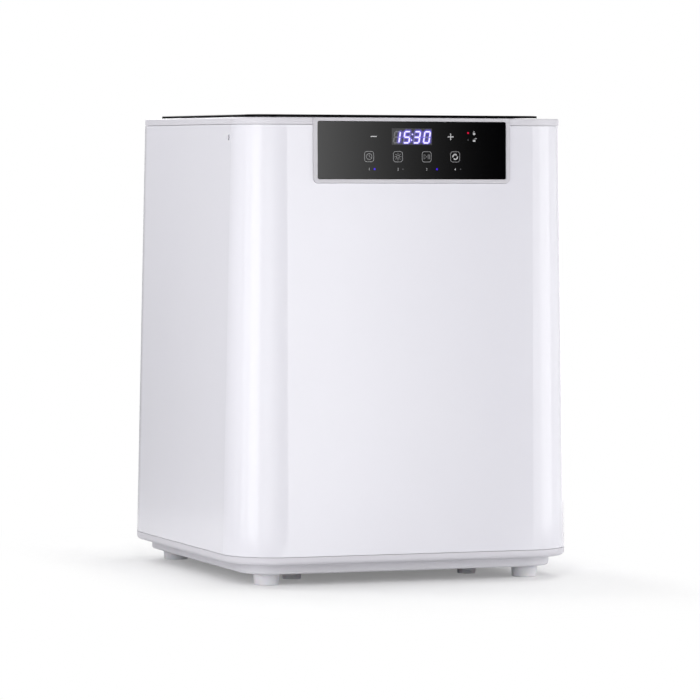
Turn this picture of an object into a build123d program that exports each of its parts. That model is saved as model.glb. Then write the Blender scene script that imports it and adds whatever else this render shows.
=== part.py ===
from build123d import *
import math
import os

# UV post-curing cabinet. Millimetres. The floor is z = 0, the front faces -Y,
# and the origin is the centre of the outline on the floor.

# ---------------------------------------------------------------- driving dimensions
# body
body_width = 400.0  # across the bottom seam
body_depth = 412.0
corner_radius = 56.5  # in plan, at the bottom seam
draft = 1.07  # degrees that every side leans inwards going up
wall = 3.0
floor_clearance = 13.2  # floor to the underside of the base pan
pan_side = 11.3  # height of the pan below the trim ring
pan_inset = 17.5
trim_height = 9.1
shell_height = 468.2
top_trim_height = 8.0
trim_edge = 1.5  # rounding of the top edge

# fits
seam = 0.5  # shadow line between body pieces
fit_gap = 0.3  # set-in pieces that don't move against each other
running_gap = 0.05  # radial, shafts and pins
swing_gap = 0.6  # round moving pieces
screw_gap = 0.15  # radial, screws in their holes
head_gap = 0.4  # radial, sunk screw heads
head_sink = 0.2  # sunk heads lie this far below the face
past = 5.0  # cuts run on this far beyond the material

# base
ring_flange_width = 40.0
flange_thickness = 3.0
tongue_wall = 2.2
tongue_height = 6.5
pan_edge_fillet = 3.0
trim_edge_fillet = 4.5
boss_radius = 6.0
ring_boss_height = 9.0
foot_side_inset = 47.5  # foot centres from the sides of the body
foot_end_inset = 47.5  # and from front and rear
foot_top_radius = 14.8
foot_base_radius = 13.6
foot_edge = 1.0
inner_foot_side_inset = 95.6
inner_foot_end_inset = 100.7
inner_foot_top_radius = 10.9
inner_foot_base_radius = 10.3
foot_screw_depth = 6.0
driver_gap = 1.2  # radial, round the screw head in a foot
base_screw_inset = 30.0
base_screw_spacing = 90.0  # from the middle of each side
base_screw_length = 17.5
base_screw_recess = 3.0
pan_slot_count = 9
pan_slot_pitch = 8.0
pan_slot_width = 4.0
pan_slot_length = 60.0

# chamber, margins from the outside of the body at the bottom seam
mouth_side_margin = 38.0
mouth_front_margin = 53.0
mouth_rear_margin = 41.0
mouth_radius = 60.0
rim_wall = 3.0
rim_drop = 22.0
deck_thickness = 3.5  # top frame
liner_thickness = 1.0
liner_overlap = 6.0  # up the outside of the rim
floor_rise = 58.4  # chamber floor above the bottom seam
floor_thickness = 4.0
floor_corner = 24.0
post_width = 50.0
post_thickness = 3.0
post_fin = 8.0
post_fin_thickness = 2.0
led_board_width = 22.0
led_board_thickness = 1.6
led_size = 3.5
led_height = 1.4
leds_per_board = 10
led_cover_width = 30.0
led_cover_depth = 8.0
led_cover_wall = 1.5
led_cover_corner = 4.0
led_cover_end = 4.0  # beyond the board
led_end_margin = 12.0
pillar_side_inset = 14.0  # from the sides of the mouth
pillar_end_inset = 19.0
pillar_radius = 5.0

# light under the turntable
base_light_inset = 71.0  # from the front and rear of the mouth
base_light_length = 210.0
base_leds = 8
base_led_gap = 1.0  # lamp tops to the underside of the floor
clip_length = 6.0
window_thickness = 2.0
window_rest = 4.0  # the window overlaps its hole by this much

# turntable
table_clearance = 9.0  # to the narrower side of the mouth
table_rise = 8.0  # underside above the chamber floor
table_thickness = 4.0
table_rim_height = 2.0
table_rim_width = 3.0
hub_radius = 32.0
hub_thickness = 3.0
hub_cone_low = 12.0
hub_cone_high = 16.0
hub_nose_radius = 10.0
hub_nose_height = 3.0
hub_nose_edge = 2.0
shaft_radius = 3.0
shaft_grip = 11.0  # length held in the gearbox
shaft_end_gap = 1.0
bushing_radius = 5.5
bushing_flange_radius = 9.0
bushing_flange = 1.2
bushing_below = 1.0
gearbox_radius = 18.5
gearbox_height = 26.0
motor_radius = 14.0
motor_height = 30.0
motor_tail_radius = 5.0
motor_tail_height = 3.0
bracket_width = 62.0
bracket_thickness = 3.0
bracket_drop = 3.0
bracket_corner = 5.0
bracket_post_radius = 5.0
bracket_hole_inset = 6.0
bracket_bore_gap = 1.5

# lid
lid_thickness = 2.6
lid_side_lap = 10.0  # lid beyond the mouth, each side
lid_end_lap = 12.0
lid_radius = 28.0
lid_edge = 0.8
lid_gap = 0.8  # over the top frame
lid_frame_depth = 6.0
lid_frame_wall = 3.0
lid_frame_gap = 1.0
scoop_width = 70.0
scoop_depth = 6.0
scoop_reach = 20.0
scoop_under_lid = 5.0
scoop_corner = 6.0

# hinges
hinge_inset = 72.0  # hinge centres from the sides of the lid
hinge_setback = 9.0  # axis behind the lid
hinge_rise = 0.1  # axis above the deck
hinge_width = 40.0
hinge_pin_radius = 1.25
knuckle_radius = 2.9
knuckle_gap = 0.4
leaf_thickness = 1.5
base_leaf_inset = 2.0  # base leaf narrower than the hinge, each side
base_leaf_length = 6.0
lid_leaf_thickness = 2.0
lid_leaf_length = 13.5
hinge_screw_spread = 12.0
hinge_screw_length = 5.0
hinge_screw_bore = 7.0
lid_screw_inset = 4.5
lid_screw_length = 2.6
lid_screw_bore = 1.8
hinge_head_gap = 0.2
hinge_pad_side = 6.0
hinge_pad_depth = 4.0

# lid lock and sensor
lock_x = 68.0
lock_drop = 11.3  # bolt axis below the deck's top face
bolt_radius = 3.0
bolt_travel = 8.0
bolt_grip = 8.2  # length left in the coil when the bolt is out
bolt_inset = 1.8  # tip at rest, from the outside of the rim
bolt_edge = 0.8
bolt_end_gap = 0.5
solenoid_gap = 4.0  # coil to the rim
solenoid_length = 20.0
solenoid_width = 20.0
solenoid_height = 15.5
strike_width = 18.0
strike_thickness = 2.0
strike_below = 7.0  # plate below the bolt axis
strike_play = 1.2
strike_top_gap = 0.5
magnet_length = 10.0
magnet_thickness = 4.0
magnet_height = 5.0
sensor_length = 14.0
sensor_thickness = 7.0
sensor_height = 8.0

# control panel, on the leaning front face, heights measured up the slope
panel_x = 1.0  # the panel sits a touch right of the middle
glass_width = 220.8
glass_height = 62.9
glass_below_deck = 3.9
glass_corner = 2.0
glass_thickness = 3.0
glass_edge = 0.3
glass_gap = 0.2
glass_ledge = 4.0
glass_sink = 1.3  # glass face behind the bezel face
bezel_side = 4.8  # bezel beyond the glass
bezel_below = 4.3
bezel_corner = 5.5
bezel_depth = 11.8
bezel_proud = 1.6
bezel_edge = 0.4
opening_corner = 1.0
board_thickness = 1.6
control_board_margin = 1.0  # inside the glass outline
display_width = 48.0
display_height = 18.4
display_up = 46.1  # middle above the glass's lower edge
display_gap = 0.2
key_count = 4
key_pitch = 33.6
key_up = 24.6
sign_x = 45.2  # minus and plus fields, each side of the display
sign_up = 46.3
dot_x = [-43.6, -10.7, 29.2, 57.2]
dot_up = 10.9
lock_light_x = 65.9
lock_light_up = [50.7, 43.2]
lamp_width = 3.2
lamp_length = 1.8
lamp_height = 1.2
touch_spring_radius = 4.5
touch_spring_wire = 0.8
controller_x = 20.0
controller_size = 12.0
controller_height = 2.0
buzzer_inset = 13.0  # from the left edge of the glass
buzzer_radius = 6.0
buzzer_port = 1.0
buzzer_height = 5.0
ribbon_width = 14.0
ribbon_thickness = 1.0
ribbon_rise = 34.0  # lower run above the main board
ribbon_reach = 4.0  # behind the socket
socket_side = 2.0  # sockets wider than the ribbon, each side
socket_height = 6.0
socket_depth = 4.0
socket_gap = 0.05

# side screws
side_screw_setback = 64.5  # behind the front
side_screw_below_deck = 22.0
side_hole_radius = 3.25
side_tab_thickness = 3.5
side_tab_width = 16.0
side_tab_below = 7.0  # tab below the screw

# rear panel
rear_side_margin = 70.0  # from the sides of the body
rear_low_margin = 16.0
rear_high_margin = 20.0
rear_corner = 4.0
rear_screw_end = 17.3  # end screws from the ends of the panel
rear_cell_margin = 12.0  # fan seat and recess from the sides of the panel
lip_width = 8.0
lip_thickness = 2.4
vent_count = 11
vent_width = 4.0
vent_length = 44.0
vent_pitch = 10.0
vent_below = 63.2  # middle of the upper row below the top of the panel
vent_row_gap = 12.0
service_depth = 11.0  # recess for inlet and switch
service_below = 10.0  # its middle below the chamber floor
service_width = 84.0
service_height = 42.0
service_wall = 2.5
inlet_shift = 16.0  # from the middle of the recess
inlet_width = 27.2
inlet_height = 19.4
inlet_depth = 23.0
inlet_cavity_width = 24.0
inlet_cavity_height = 16.2
inlet_cavity_depth = 16.5
inlet_cavity_chamfer = 4.5
inlet_flange = 2.0
inlet_flange_side = 2.0
inlet_flange_end = 2.4
inlet_flange_corner = 2.0
pin_width = 2.0
pin_height = 4.0
pin_length = 14.0
pin_spread = 7.0
pin_rise = 1.0
earth_drop = 3.5
switch_shift = 24.0
switch_width = 13.0
switch_height = 20.0
switch_depth = 13.0
switch_flange = 1.6
switch_flange_lap = 1.5
switch_flange_corner = 1.5
switch_floor = 2.0
rocker_width = 10.6
rocker_height = 16.4
rocker_end_gap = 1.0
rocker_tilt = 8.0  # degrees to each side
rocker_pivot_depth = 2.0
rocker_tip = 4.8  # tips, middle and underside from the pivot
rocker_dip = 3.2
rocker_skirt = 1.2
rocker_keel = 4.4
rocker_keel_width = 5.2
trunnion_radius = 1.2
trunnion_gap = 0.1

# fan
fan_size = 60.0
fan_depth = 20.0
fan_bore = 28.5
fan_corner = 4.0
fan_seat_depth = 7.0  # seat below the rear face of the body
fan_pad_margin = 4.0
fan_hole_pitch = 50.0
fan_hub_thickness = 3.5
fan_strut = 3.0
fan_shaft_radius = 1.5
fan_opening_gap = 0.5
fan_screw_grip = 8.0
rotor_hub_radius = 13.0
rotor_blades = 7
rotor_inset = 1.5  # behind the seat
blade_pitch = 40.0  # degrees
blade_chord = 13.0
blade_thickness = 1.4
blade_root = 2.0  # sunk into the hub
guard_radius = 31.5
guard_thickness = 1.5
guard_sink = 1.0
guard_rings = 4
guard_ring_pitch = 6.5
guard_ring_width = 2.2
guard_spoke_width = 2.4
guard_hub = 5.5

# boxes in the base
supply_width = 58.0
supply_depth = 116.0
supply_height = 36.0
supply_side_inset = 111.0  # middle from the right side of the body
supply_rear_inset = 106.0
supply_rise = 9.0
supply_edge = 1.5
supply_skin = 1.5
supply_slot_count = 6
supply_slot_pitch = 13.0
supply_slot_width = 5.0
supply_slot_inset = 14.0
supply_slot_start = 24.0
terminal_count = 5
terminal_pitch = 9.5
terminal_width = 7.0
terminal_height = 10.0
terminal_bay_depth = 12.0
terminal_bay_side = 4.0
terminal_front = 2.0
terminal_sill = 12.0
supply_post_inset = 8.0
supply_post_radius = 5.0
board_width = 105.0
board_depth = 84.0
board_side_inset = 127.5  # middle from the left side of the body
board_front_inset = 116.0
board_rise = 10.3
board_post_inset = 5.0
board_post_radius = 4.0
capacitor_inset = 18.0
capacitor_pitch = 16.0
capacitor_radius = 6.0
capacitor_height = 22.0
relay_inset = 24.0
relay_width = 24.0
relay_depth = 20.0
relay_height = 15.0
sink_inset = 30.0
sink_width = 32.0
sink_depth = 20.0
sink_height = 20.0
sink_base = 3.0
sink_fins = 6
sink_fin_thickness = 2.0
chip_inset = 30.0
chip_size = 14.0
chip_height = 2.0
plug_count = 4
plug_pitch = 16.0
plug_start = 14.0
plug_width = 12.0
plug_depth = 8.0
plug_height = 9.0
ribbon_socket_inset = 11.5
ribbon_socket_depth = 7.0
ribbon_socket_height = 10.4

# screws: head radius, head height, shank radius
m3_head = 2.75
m3_head_height = 1.6
m3_shank = 1.5
case_screw_length = 8.0
m4_head = 3.8
m4_head_height = 2.4
m4_shank = 2.0
hinge_head = 2.0
hinge_head_height = 0.9
hinge_shank = 1.0

# ---------------------------------------------------------------- worked out from them
lean = math.tan(math.radians(draft))
side_x = body_width / 2
rear_y = body_depth / 2
front_y = -body_depth / 2

# heights
z_pan = floor_clearance
z_trim = z_pan + pan_side
z_shell = z_trim + trim_height
z_top = z_shell + shell_height
z_deck = z_top + top_trim_height
z_lid = z_deck + lid_gap
z_rim = z_deck - rim_drop
pan_floor = z_pan + wall
deck_under = z_deck - deck_thickness
floor_top = z_shell + floor_rise
floor_under = floor_top - floor_thickness
table_z = floor_top + table_rise

# chamber
mouth_width = body_width - 2 * mouth_side_margin
mouth_depth = body_depth - mouth_front_margin - mouth_rear_margin
chamber_y = (mouth_front_margin - mouth_rear_margin) / 2
half_mouth_x = mouth_width / 2
half_mouth_y = mouth_depth / 2
liner_x = half_mouth_x + rim_wall
liner_y = half_mouth_y + rim_wall
corner_x = half_mouth_x - mouth_radius + mouth_radius * math.sqrt(0.5)
corner_y = half_mouth_y - mouth_radius + mouth_radius * math.sqrt(0.5)
rim_front_y = chamber_y - liner_y
led_z0 = floor_top + led_end_margin
led_z1 = z_rim - led_end_margin
base_light_y = half_mouth_y - base_light_inset
base_board_top = floor_under - base_led_gap - led_height
table_radius = min(half_mouth_x, half_mouth_y) - table_clearance
hub_bottom = floor_top + bushing_flange + fit_gap
bracket_bottom = floor_under - bracket_drop - bracket_thickness

# lid, hinges and lock
lid_width = mouth_width + 2 * lid_side_lap
lid_depth = mouth_depth + 2 * lid_end_lap
lid_front_y = chamber_y - lid_depth / 2
lid_frame_inner_y = chamber_y - half_mouth_y + lid_frame_gap + lid_frame_wall
hinge_centres = [-lid_width / 2 + hinge_inset, lid_width / 2 - hinge_inset]
hinge_y = chamber_y + lid_depth / 2 + hinge_setback
hinge_z = z_deck + hinge_rise
lid_leaf_front = hinge_y - knuckle_radius - lid_leaf_length
lid_leaf_bottom = z_lid - lid_leaf_thickness
pocket_y0 = lid_leaf_front - swing_gap
pocket_y1 = hinge_y + knuckle_radius + swing_gap
base_screw_line = pocket_y1 + base_leaf_length / 2
lid_screw_line = lid_leaf_front + lid_screw_inset
bolt_z = z_deck - lock_drop
bolt_tip_y = rim_front_y + bolt_inset
bolt_length = bolt_travel + bolt_inset + solenoid_gap + bolt_grip

# control panel
glass_top = shell_height + top_trim_height - glass_below_deck
glass_bottom = glass_top - glass_height
glass_front = bezel_proud - glass_sink
glass_back = glass_front - glass_thickness
bezel_width = glass_width + 2 * bezel_side
bezel_bottom = glass_bottom - bezel_below
bezel_back = bezel_proud - bezel_depth
board_back = bezel_back - board_thickness
display_v = glass_bottom + display_up
key_x = [(i - (key_count - 1) / 2) * key_pitch for i in range(key_count)]
key_v = glass_bottom + key_up
sign_v = glass_bottom + sign_up
dot_v = glass_bottom + dot_up
lock_light_v = [glass_bottom + up for up in lock_light_up]
buzzer_x = panel_x - glass_width / 2 + buzzer_inset

# sides and rear
side_screw_y = front_y + side_screw_setback
side_screw_z = z_deck - side_screw_below_deck
side_tab_face = side_x - lean * shell_height - wall - fit_gap
rear_width = body_width - 2 * rear_side_margin
rear_low = rear_low_margin
rear_high = shell_height - rear_high_margin
rear_screw_x = rear_width / 2 - lip_width / 2
rear_screw_v = [rear_low + rear_screw_end, (rear_low + rear_high) / 2, rear_high - rear_screw_end]
service_x = rear_width / 2 - rear_cell_margin - service_width / 2
service_z = floor_top - service_below
service_floor_y = rear_y - service_depth
inlet_x = service_x - inlet_shift
switch_x = service_x + switch_shift
rocker_pivot_y = service_floor_y - rocker_pivot_depth
fan_pad = fan_size + 2 * fan_pad_margin
fan_x = -rear_width / 2 + rear_cell_margin + fan_pad / 2
fan_z = floor_top
fan_seat_y = rear_y - fan_seat_depth
fan_front_y = fan_seat_y - fan_depth
fan_face_y = rear_y - lean * (fan_z - z_shell)  # rear panel's face at the fan's height
guard_seat_y = fan_face_y - guard_thickness - guard_sink

# base
supply_x = side_x - supply_side_inset
supply_y = rear_y - supply_rear_inset
supply_z = pan_floor + supply_rise
board_x = -side_x + board_side_inset
board_y = front_y + board_front_inset
board_z = pan_floor + board_rise
ribbon_x = board_x
ribbon_end_y = board_y - board_depth / 2 + ribbon_socket_inset

front_plane = Plane(
    origin=(0, front_y, z_shell),
    x_dir=(1, 0, 0),
    z_dir=(0, -math.cos(math.radians(draft)), math.sin(math.radians(draft))),
)
# seen from inside the cabinet, so that +x on the plane is +X of the body
rear_plane = Plane(
    origin=(0, rear_y, z_shell),
    x_dir=(1, 0, 0),
    z_dir=(0, -math.cos(math.radians(draft)), -math.sin(math.radians(draft))),
)


# ---------------------------------------------------------------- helpers
def block(x0, x1, y0, y1, z0, z1):
    """Box between two opposite corners."""
    centre = Pos((x0 + x1) / 2, (y0 + y1) / 2, (z0 + z1) / 2)
    return centre * Box(x1 - x0, y1 - y0, z1 - z0)


def brick(x, y, width, depth, z0, z1):
    """Box centred on x and y, between two heights."""
    return block(x - width / 2, x + width / 2, y - depth / 2, y + depth / 2, z0, z1)


def post(x, y, z0, z1, radius):
    """Upright cylinder."""
    return Pos(x, y, (z0 + z1) / 2) * Cylinder(radius, z1 - z0)


def bar_x(x0, x1, y, z, radius):
    """Cylinder that lies along X."""
    return Pos((x0 + x1) / 2, y, z) * Rot(0, 90, 0) * Cylinder(radius, x1 - x0)


def bar_y(x, y0, y1, z, radius):
    """Cylinder that lies along Y."""
    return Pos(x, (y0 + y1) / 2, z) * Rot(90, 0, 0) * Cylinder(radius, y1 - y0)


def rounded_prism(width, depth, radius, z0, z1, y=0.0, taper=0.0):
    """Upright prism with rounded corners; a taper leans every side inwards."""
    outline = Pos(0, y, z0) * RectangleRounded(width, depth, radius)
    return extrude(outline, z1 - z0, taper=taper)


def envelope(inset, z0, z1):
    """The leaning form of the body between two heights, moved inwards by inset."""
    shrink = inset + lean * (z0 - z_shell)
    width = body_width - 2 * shrink
    depth = body_depth - 2 * shrink
    return rounded_prism(width, depth, corner_radius - shrink, z0, z1, taper=draft)


def upright_body(inset, z0, z1):
    """The body's bottom outline moved inwards, with upright sides."""
    return rounded_prism(body_width - 2 * inset, body_depth - 2 * inset, corner_radius - inset, z0, z1)


def mouth_prism(grow, z0, z1):
    """Upright prism of the chamber mouth, grown outwards."""
    width = mouth_width + 2 * grow
    depth = mouth_depth + 2 * grow
    return rounded_prism(width, depth, mouth_radius + grow, z0, z1, y=chamber_y)


def on_face(plane, sketch, depth0, depth1):
    """Extrude a sketch drawn on a leaning face; depths count along the plane's normal."""
    return extrude(plane.offset(depth0) * sketch, depth1 - depth0)


def window(width, low, high, radius=0.0, x=0.0):
    """Rectangle on a leaning face between two heights up the slope."""
    place = Pos(x, (low + high) / 2)
    if radius > 0:
        return place * RectangleRounded(width, high - low, radius)
    return place * Rectangle(width, high - low)


def slot(width, length, x, v):
    """Upright slot with round ends."""
    return Pos(x, v) * Rot(0, 0, 90) * SlotOverall(length, width)


def mirrored(x, y):
    """The four places (+-x, +-y)."""
    return [(sx * x, sy * y) for sx in (-1, 1) for sy in (-1, 1)]


def screw(head_radius, head_height, shank_radius, length):
    """Pan-head screw with a hexagon socket, head above z = 0 and shank below it."""
    head = Pos(0, 0, head_height / 2) * Cylinder(head_radius, head_height)
    shank = Pos(0, 0, -length / 2) * Cylinder(shank_radius, length)
    socket = extrude(Pos(0, 0, head_height * 0.4) * RegularPolygon(head_radius * 0.5, 6), head_height)
    return head + shank - socket


def write(name, shape):
    """Write one sub-part; a list becomes one group of separate solids."""
    if isinstance(shape, (list, tuple)):
        shape = Compound(children=[solid for part in shape for solid in part.solids()])
    export_step(shape, f"parts/{name}.step")


# ---------------------------------------------------------------- base
foot_x = side_x - foot_side_inset
foot_y = rear_y - foot_end_inset
outer_feet = {
    "foot_rear_left": (-foot_x, foot_y),
    "foot_rear_right": (foot_x, foot_y),
    "foot_front_left": (-foot_x, -foot_y),
    "foot_front_right": (foot_x, -foot_y),
}
inner_feet = mirrored(side_x - inner_foot_side_inset, rear_y - inner_foot_end_inset)
foot_places = list(outer_feet.values()) + inner_feet
base_screw_places = mirrored(side_x - base_screw_inset, base_screw_spacing)
base_screw_places += mirrored(base_screw_spacing, rear_y - base_screw_inset)
pillar_grid = mirrored(half_mouth_x - pillar_side_inset, half_mouth_y - pillar_end_inset)
pillars = [(x, chamber_y + y) for x, y in pillar_grid]
board_posts = [
    (board_x + x, board_y + y)
    for x, y in mirrored(board_width / 2 - board_post_inset, board_depth / 2 - board_post_inset)
]
supply_posts = [
    (supply_x + x, supply_y + y)
    for x, y in mirrored(supply_width / 2 - supply_post_inset, supply_depth / 2 - supply_post_inset)
]


def foot(x, y, top_radius, base_radius):
    """Tapered foot with a screw well that opens downwards."""
    body = Pos(x, y, z_pan / 2) * Cone(base_radius, top_radius, z_pan)
    body = fillet(body.edges().group_by(Axis.Z)[0], foot_edge)
    well = post(x, y, 0, foot_screw_depth, m4_head + driver_gap)
    return body - well - post(x, y, 0, z_pan, m4_shank + screw_gap)


def base_pan():
    """Shallow vented tray that closes the cabinet below and carries the feet."""
    pan = upright_body(pan_inset, z_pan, z_trim)
    pan = fillet(pan.edges().group_by(Axis.Z)[0], pan_edge_fillet)
    pan -= upright_body(pan_inset + wall, pan_floor, z_trim)
    for x, y in foot_places:
        pan += post(x, y, z_pan, z_trim - fit_gap, boss_radius)
        pan -= post(x, y, z_pan, z_trim, m4_shank + screw_gap)
    for x, y in base_screw_places:
        pan += post(x, y, z_pan, z_trim, boss_radius)
        pan -= post(x, y, z_pan, z_trim, m4_shank + screw_gap)
        pan -= post(x, y, z_pan, z_pan + base_screw_recess, m4_head + head_gap)
    for x in (board_x, supply_x):
        for i in range(pan_slot_count):
            place = x + (i - (pan_slot_count - 1) / 2) * pan_slot_pitch
            pan -= extrude(Pos(0, 0, z_pan) * slot(pan_slot_width, pan_slot_length, place, 0), wall)
    return pan


def standoffs():
    """Spacers that carry the main board and the power supply on the pan."""
    spacers = [post(x, y, pan_floor, board_z, board_post_radius) for x, y in board_posts]
    return spacers + [post(x, y, pan_floor, supply_z, supply_post_radius) for x, y in supply_posts]


def lower_trim_ring():
    """Trim ring with a flange that seats on the pan and a tongue that locates the shell."""
    ring = upright_body(0, z_trim, z_shell - seam)
    ring = fillet(ring.edges().group_by(Axis.Z)[0], trim_edge_fillet)
    inset = wall + fit_gap
    inner = inset + tongue_wall
    ring += envelope(inset, z_shell - seam, z_shell + tongue_height)
    ring -= upright_body(inner, z_trim + flange_thickness, z_shell - seam)
    ring -= envelope(inner, z_shell - seam, z_shell + tongue_height)
    ring -= upright_body(ring_flange_width, z_trim, z_trim + flange_thickness)
    for x, y in base_screw_places:
        ring += post(x, y, z_trim, z_trim + ring_boss_height, boss_radius)
        ring -= post(x, y, z_trim, z_trim + ring_boss_height, m4_shank + screw_gap)
    return ring


def base_screws():
    """Screws driven from below: one through each foot, the rest through pan and trim ring."""
    fastener = Rot(180, 0, 0) * screw(m4_head, m4_head_height, m4_shank, base_screw_length)
    seats = [(x, y, foot_screw_depth) for x, y in foot_places]
    seats += [(x, y, z_pan + base_screw_recess) for x, y in base_screw_places]
    return [Pos(x, y, z) * fastener for x, y, z in seats]


# ---------------------------------------------------------------- shell
def front_notch(gap):
    """Place of the control bezel in the front wall, open at the top."""
    high = shell_height + top_trim_height + past
    outline = window(bezel_width + 2 * gap, bezel_bottom - gap, high, bezel_corner + gap, x=panel_x)
    # the corners at the open end are squared off above the body
    outline += window(bezel_width + 2 * gap, shell_height, high, x=panel_x)
    return on_face(front_plane, outline, bezel_back - gap, bezel_proud + past)


def rear_hole(grow):
    """Opening of the rear panel, grown by an amount on every side, through the rear wall."""
    corner = max(rear_corner + grow, 1.0)
    outline = window(rear_width + 2 * grow, rear_low - grow, rear_high + grow, corner)
    return on_face(rear_plane, outline, -past, wall + lip_thickness + past)


def side_screw_holes(radius):
    """Holes for the two screws that hold the top frame, through both side walls."""
    inner = side_tab_face - side_tab_thickness - past
    left = bar_x(-side_x, -inner, side_screw_y, side_screw_z, radius)
    return [left, mirror(left, Plane.YZ)]


def rear_screw_holes(radius, depth0, depth1):
    """Holes for the screws of the rear panel, between two depths from its face."""
    places = [(s * rear_screw_x, v) for s in (-1, 1) for v in rear_screw_v]
    return [on_face(rear_plane, Pos(x, v) * Circle(radius), depth0, depth1) for x, v in places]


def outer_shell():
    """Glossy sleeve round all four sides, with the rear opening and its screw lip."""
    shell = envelope(0, z_shell, z_top) - envelope(wall, z_shell, z_top)
    lip = envelope(wall, z_shell, z_top) - envelope(wall + lip_thickness, z_shell, z_top)
    shell += lip & rear_hole(lip_width)
    shell -= rear_hole(-lip_width)
    shell -= rear_hole(0) & envelope(-1, z_shell, z_top) - envelope(wall, z_shell, z_top)
    shell -= front_notch(fit_gap)
    holes = side_screw_holes(side_hole_radius)
    holes += rear_screw_holes(m3_shank + screw_gap, 0, wall + lip_thickness)
    for hole in holes:
        shell -= hole
    return shell


# ---------------------------------------------------------------- rear panel and what sits in it
fan_screw_places = [(fan_x + x, fan_z + z) for x, z in mirrored(fan_hole_pitch / 2, fan_hole_pitch / 2)]


def service_cut(x, width, height):
    """Rectangular hole in the floor of the service recess."""
    hx = width / 2 + fit_gap
    hz = height / 2 + fit_gap
    y = service_floor_y
    return block(x - hx, x + hx, y - service_wall, y, service_z - hz, service_z + hz)


def rear_panel():
    """Cover with vents, a seat for the fan and a recess for inlet and switch."""
    panel = envelope(0, z_shell, z_top) - envelope(wall, z_shell, z_top)
    panel &= rear_hole(-fit_gap)
    inside = fan_face_y - wall / 2
    half = fan_pad / 2
    panel += block(fan_x - half, fan_x + half, fan_seat_y, inside, fan_z - half, fan_z + half)
    hx = service_width / 2
    hz = service_height / 2
    w = service_wall
    x, y, z = service_x, service_floor_y, service_z
    panel += block(x - hx - w, x + hx + w, y - w, inside, z - hz - w, z + hz + w)
    panel -= block(x - hx, x + hx, y, rear_y, z - hz, z + hz)
    panel -= service_cut(inlet_x, inlet_width, inlet_height)
    panel -= service_cut(switch_x, switch_width, switch_height)
    panel -= bar_y(fan_x, fan_seat_y, rear_y, fan_z, fan_bore + fan_opening_gap)
    panel -= bar_y(fan_x, guard_seat_y, rear_y, fan_z, guard_radius + fit_gap)
    for x, z in fan_screw_places:
        panel -= bar_y(x, fan_seat_y, rear_y, z, m3_shank + screw_gap)
        panel -= bar_y(x, guard_seat_y, rear_y, z, m3_head + head_gap)
    upper = rear_high - vent_below
    for v in (upper, upper - vent_length - vent_row_gap):
        for i in range(vent_count):
            x = (i - (vent_count - 1) / 2) * vent_pitch
            panel -= on_face(rear_plane, slot(vent_width, vent_length, x, v), -1, wall + 1)
    holes = rear_screw_holes(m3_shank + screw_gap, -1, wall + 1)
    for hole in holes + rear_screw_holes(m3_head + head_gap, -1, m3_head_height + head_sink):
        panel -= hole
    return panel


def case_screws():
    """Black screws, heads sunk: six in the rear panel and one near the top of each side."""
    fastener = screw(m3_head, m3_head_height, m3_shank, case_screw_length)
    seat = rear_plane.offset(m3_head_height + head_sink)
    turned = Rot(180, 0, 0) * fastener
    screws = [seat * Pos(s * rear_screw_x, v) * turned for s in (-1, 1) for v in rear_screw_v]
    side = Pos(side_tab_face, side_screw_y, side_screw_z) * Rot(0, 90, 0) * fastener
    return screws + [side, mirror(side, Plane.YZ)]


def ac_inlet():
    """Three-pin mains inlet: flange, body and the open socket."""
    x, y, z = inlet_x, service_floor_y, service_z
    hx = inlet_width / 2
    hz = inlet_height / 2
    fx = hx + inlet_flange_side
    fz = hz + inlet_flange_end
    flange = block(x - fx, x + fx, y, y + inlet_flange, z - fz, z + fz)
    flange = fillet(flange.edges().filter_by(Axis.Y), inlet_flange_corner)
    body = block(x - hx, x + hx, y - inlet_depth, y, z - hz, z + hz)
    cx = inlet_cavity_width / 2
    cz = inlet_cavity_height / 2
    mouth = y + inlet_flange
    cavity = block(x - cx, x + cx, mouth - inlet_cavity_depth, mouth, z - cz, z + cz)
    upper = cavity.edges().filter_by(Axis.Y).group_by(Axis.Z)[-1]
    return flange + body - chamfer(upper, inlet_cavity_chamfer)


def inlet_pins():
    """Live, neutral and earth blades, standing on the bottom of the socket."""
    y = service_floor_y + inlet_flange - inlet_cavity_depth + pin_length / 2
    places = [(-pin_spread, pin_rise), (pin_spread, pin_rise), (0.0, -earth_drop)]
    blade = Box(pin_width, pin_length, pin_height)
    return [Pos(inlet_x + dx, y, service_z + dz) * blade for dx, dz in places]


def switch_housing():
    """Frame and body of the rocker switch, with the well that the rocker tips in."""
    x, y, z = switch_x, service_floor_y, service_z
    hx = switch_width / 2
    hz = switch_height / 2
    fx = hx + switch_flange_lap
    fz = hz + switch_flange_lap
    flange = block(x - fx, x + fx, y, y + switch_flange, z - fz, z + fz)
    flange = fillet(flange.edges().filter_by(Axis.Y), switch_flange_corner)
    body = block(x - hx, x + hx, y - switch_depth, y, z - hz, z + hz)
    wx = rocker_width / 2 + fit_gap
    wz = rocker_height / 2 + rocker_end_gap
    well = block(x - wx, x + wx, y - switch_depth + switch_floor, y + switch_flange, z - wz, z + wz)
    pins = bar_x(x - hx, x + hx, rocker_pivot_y, z, trunnion_radius + running_gap)
    return flange + body - well - pins


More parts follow.
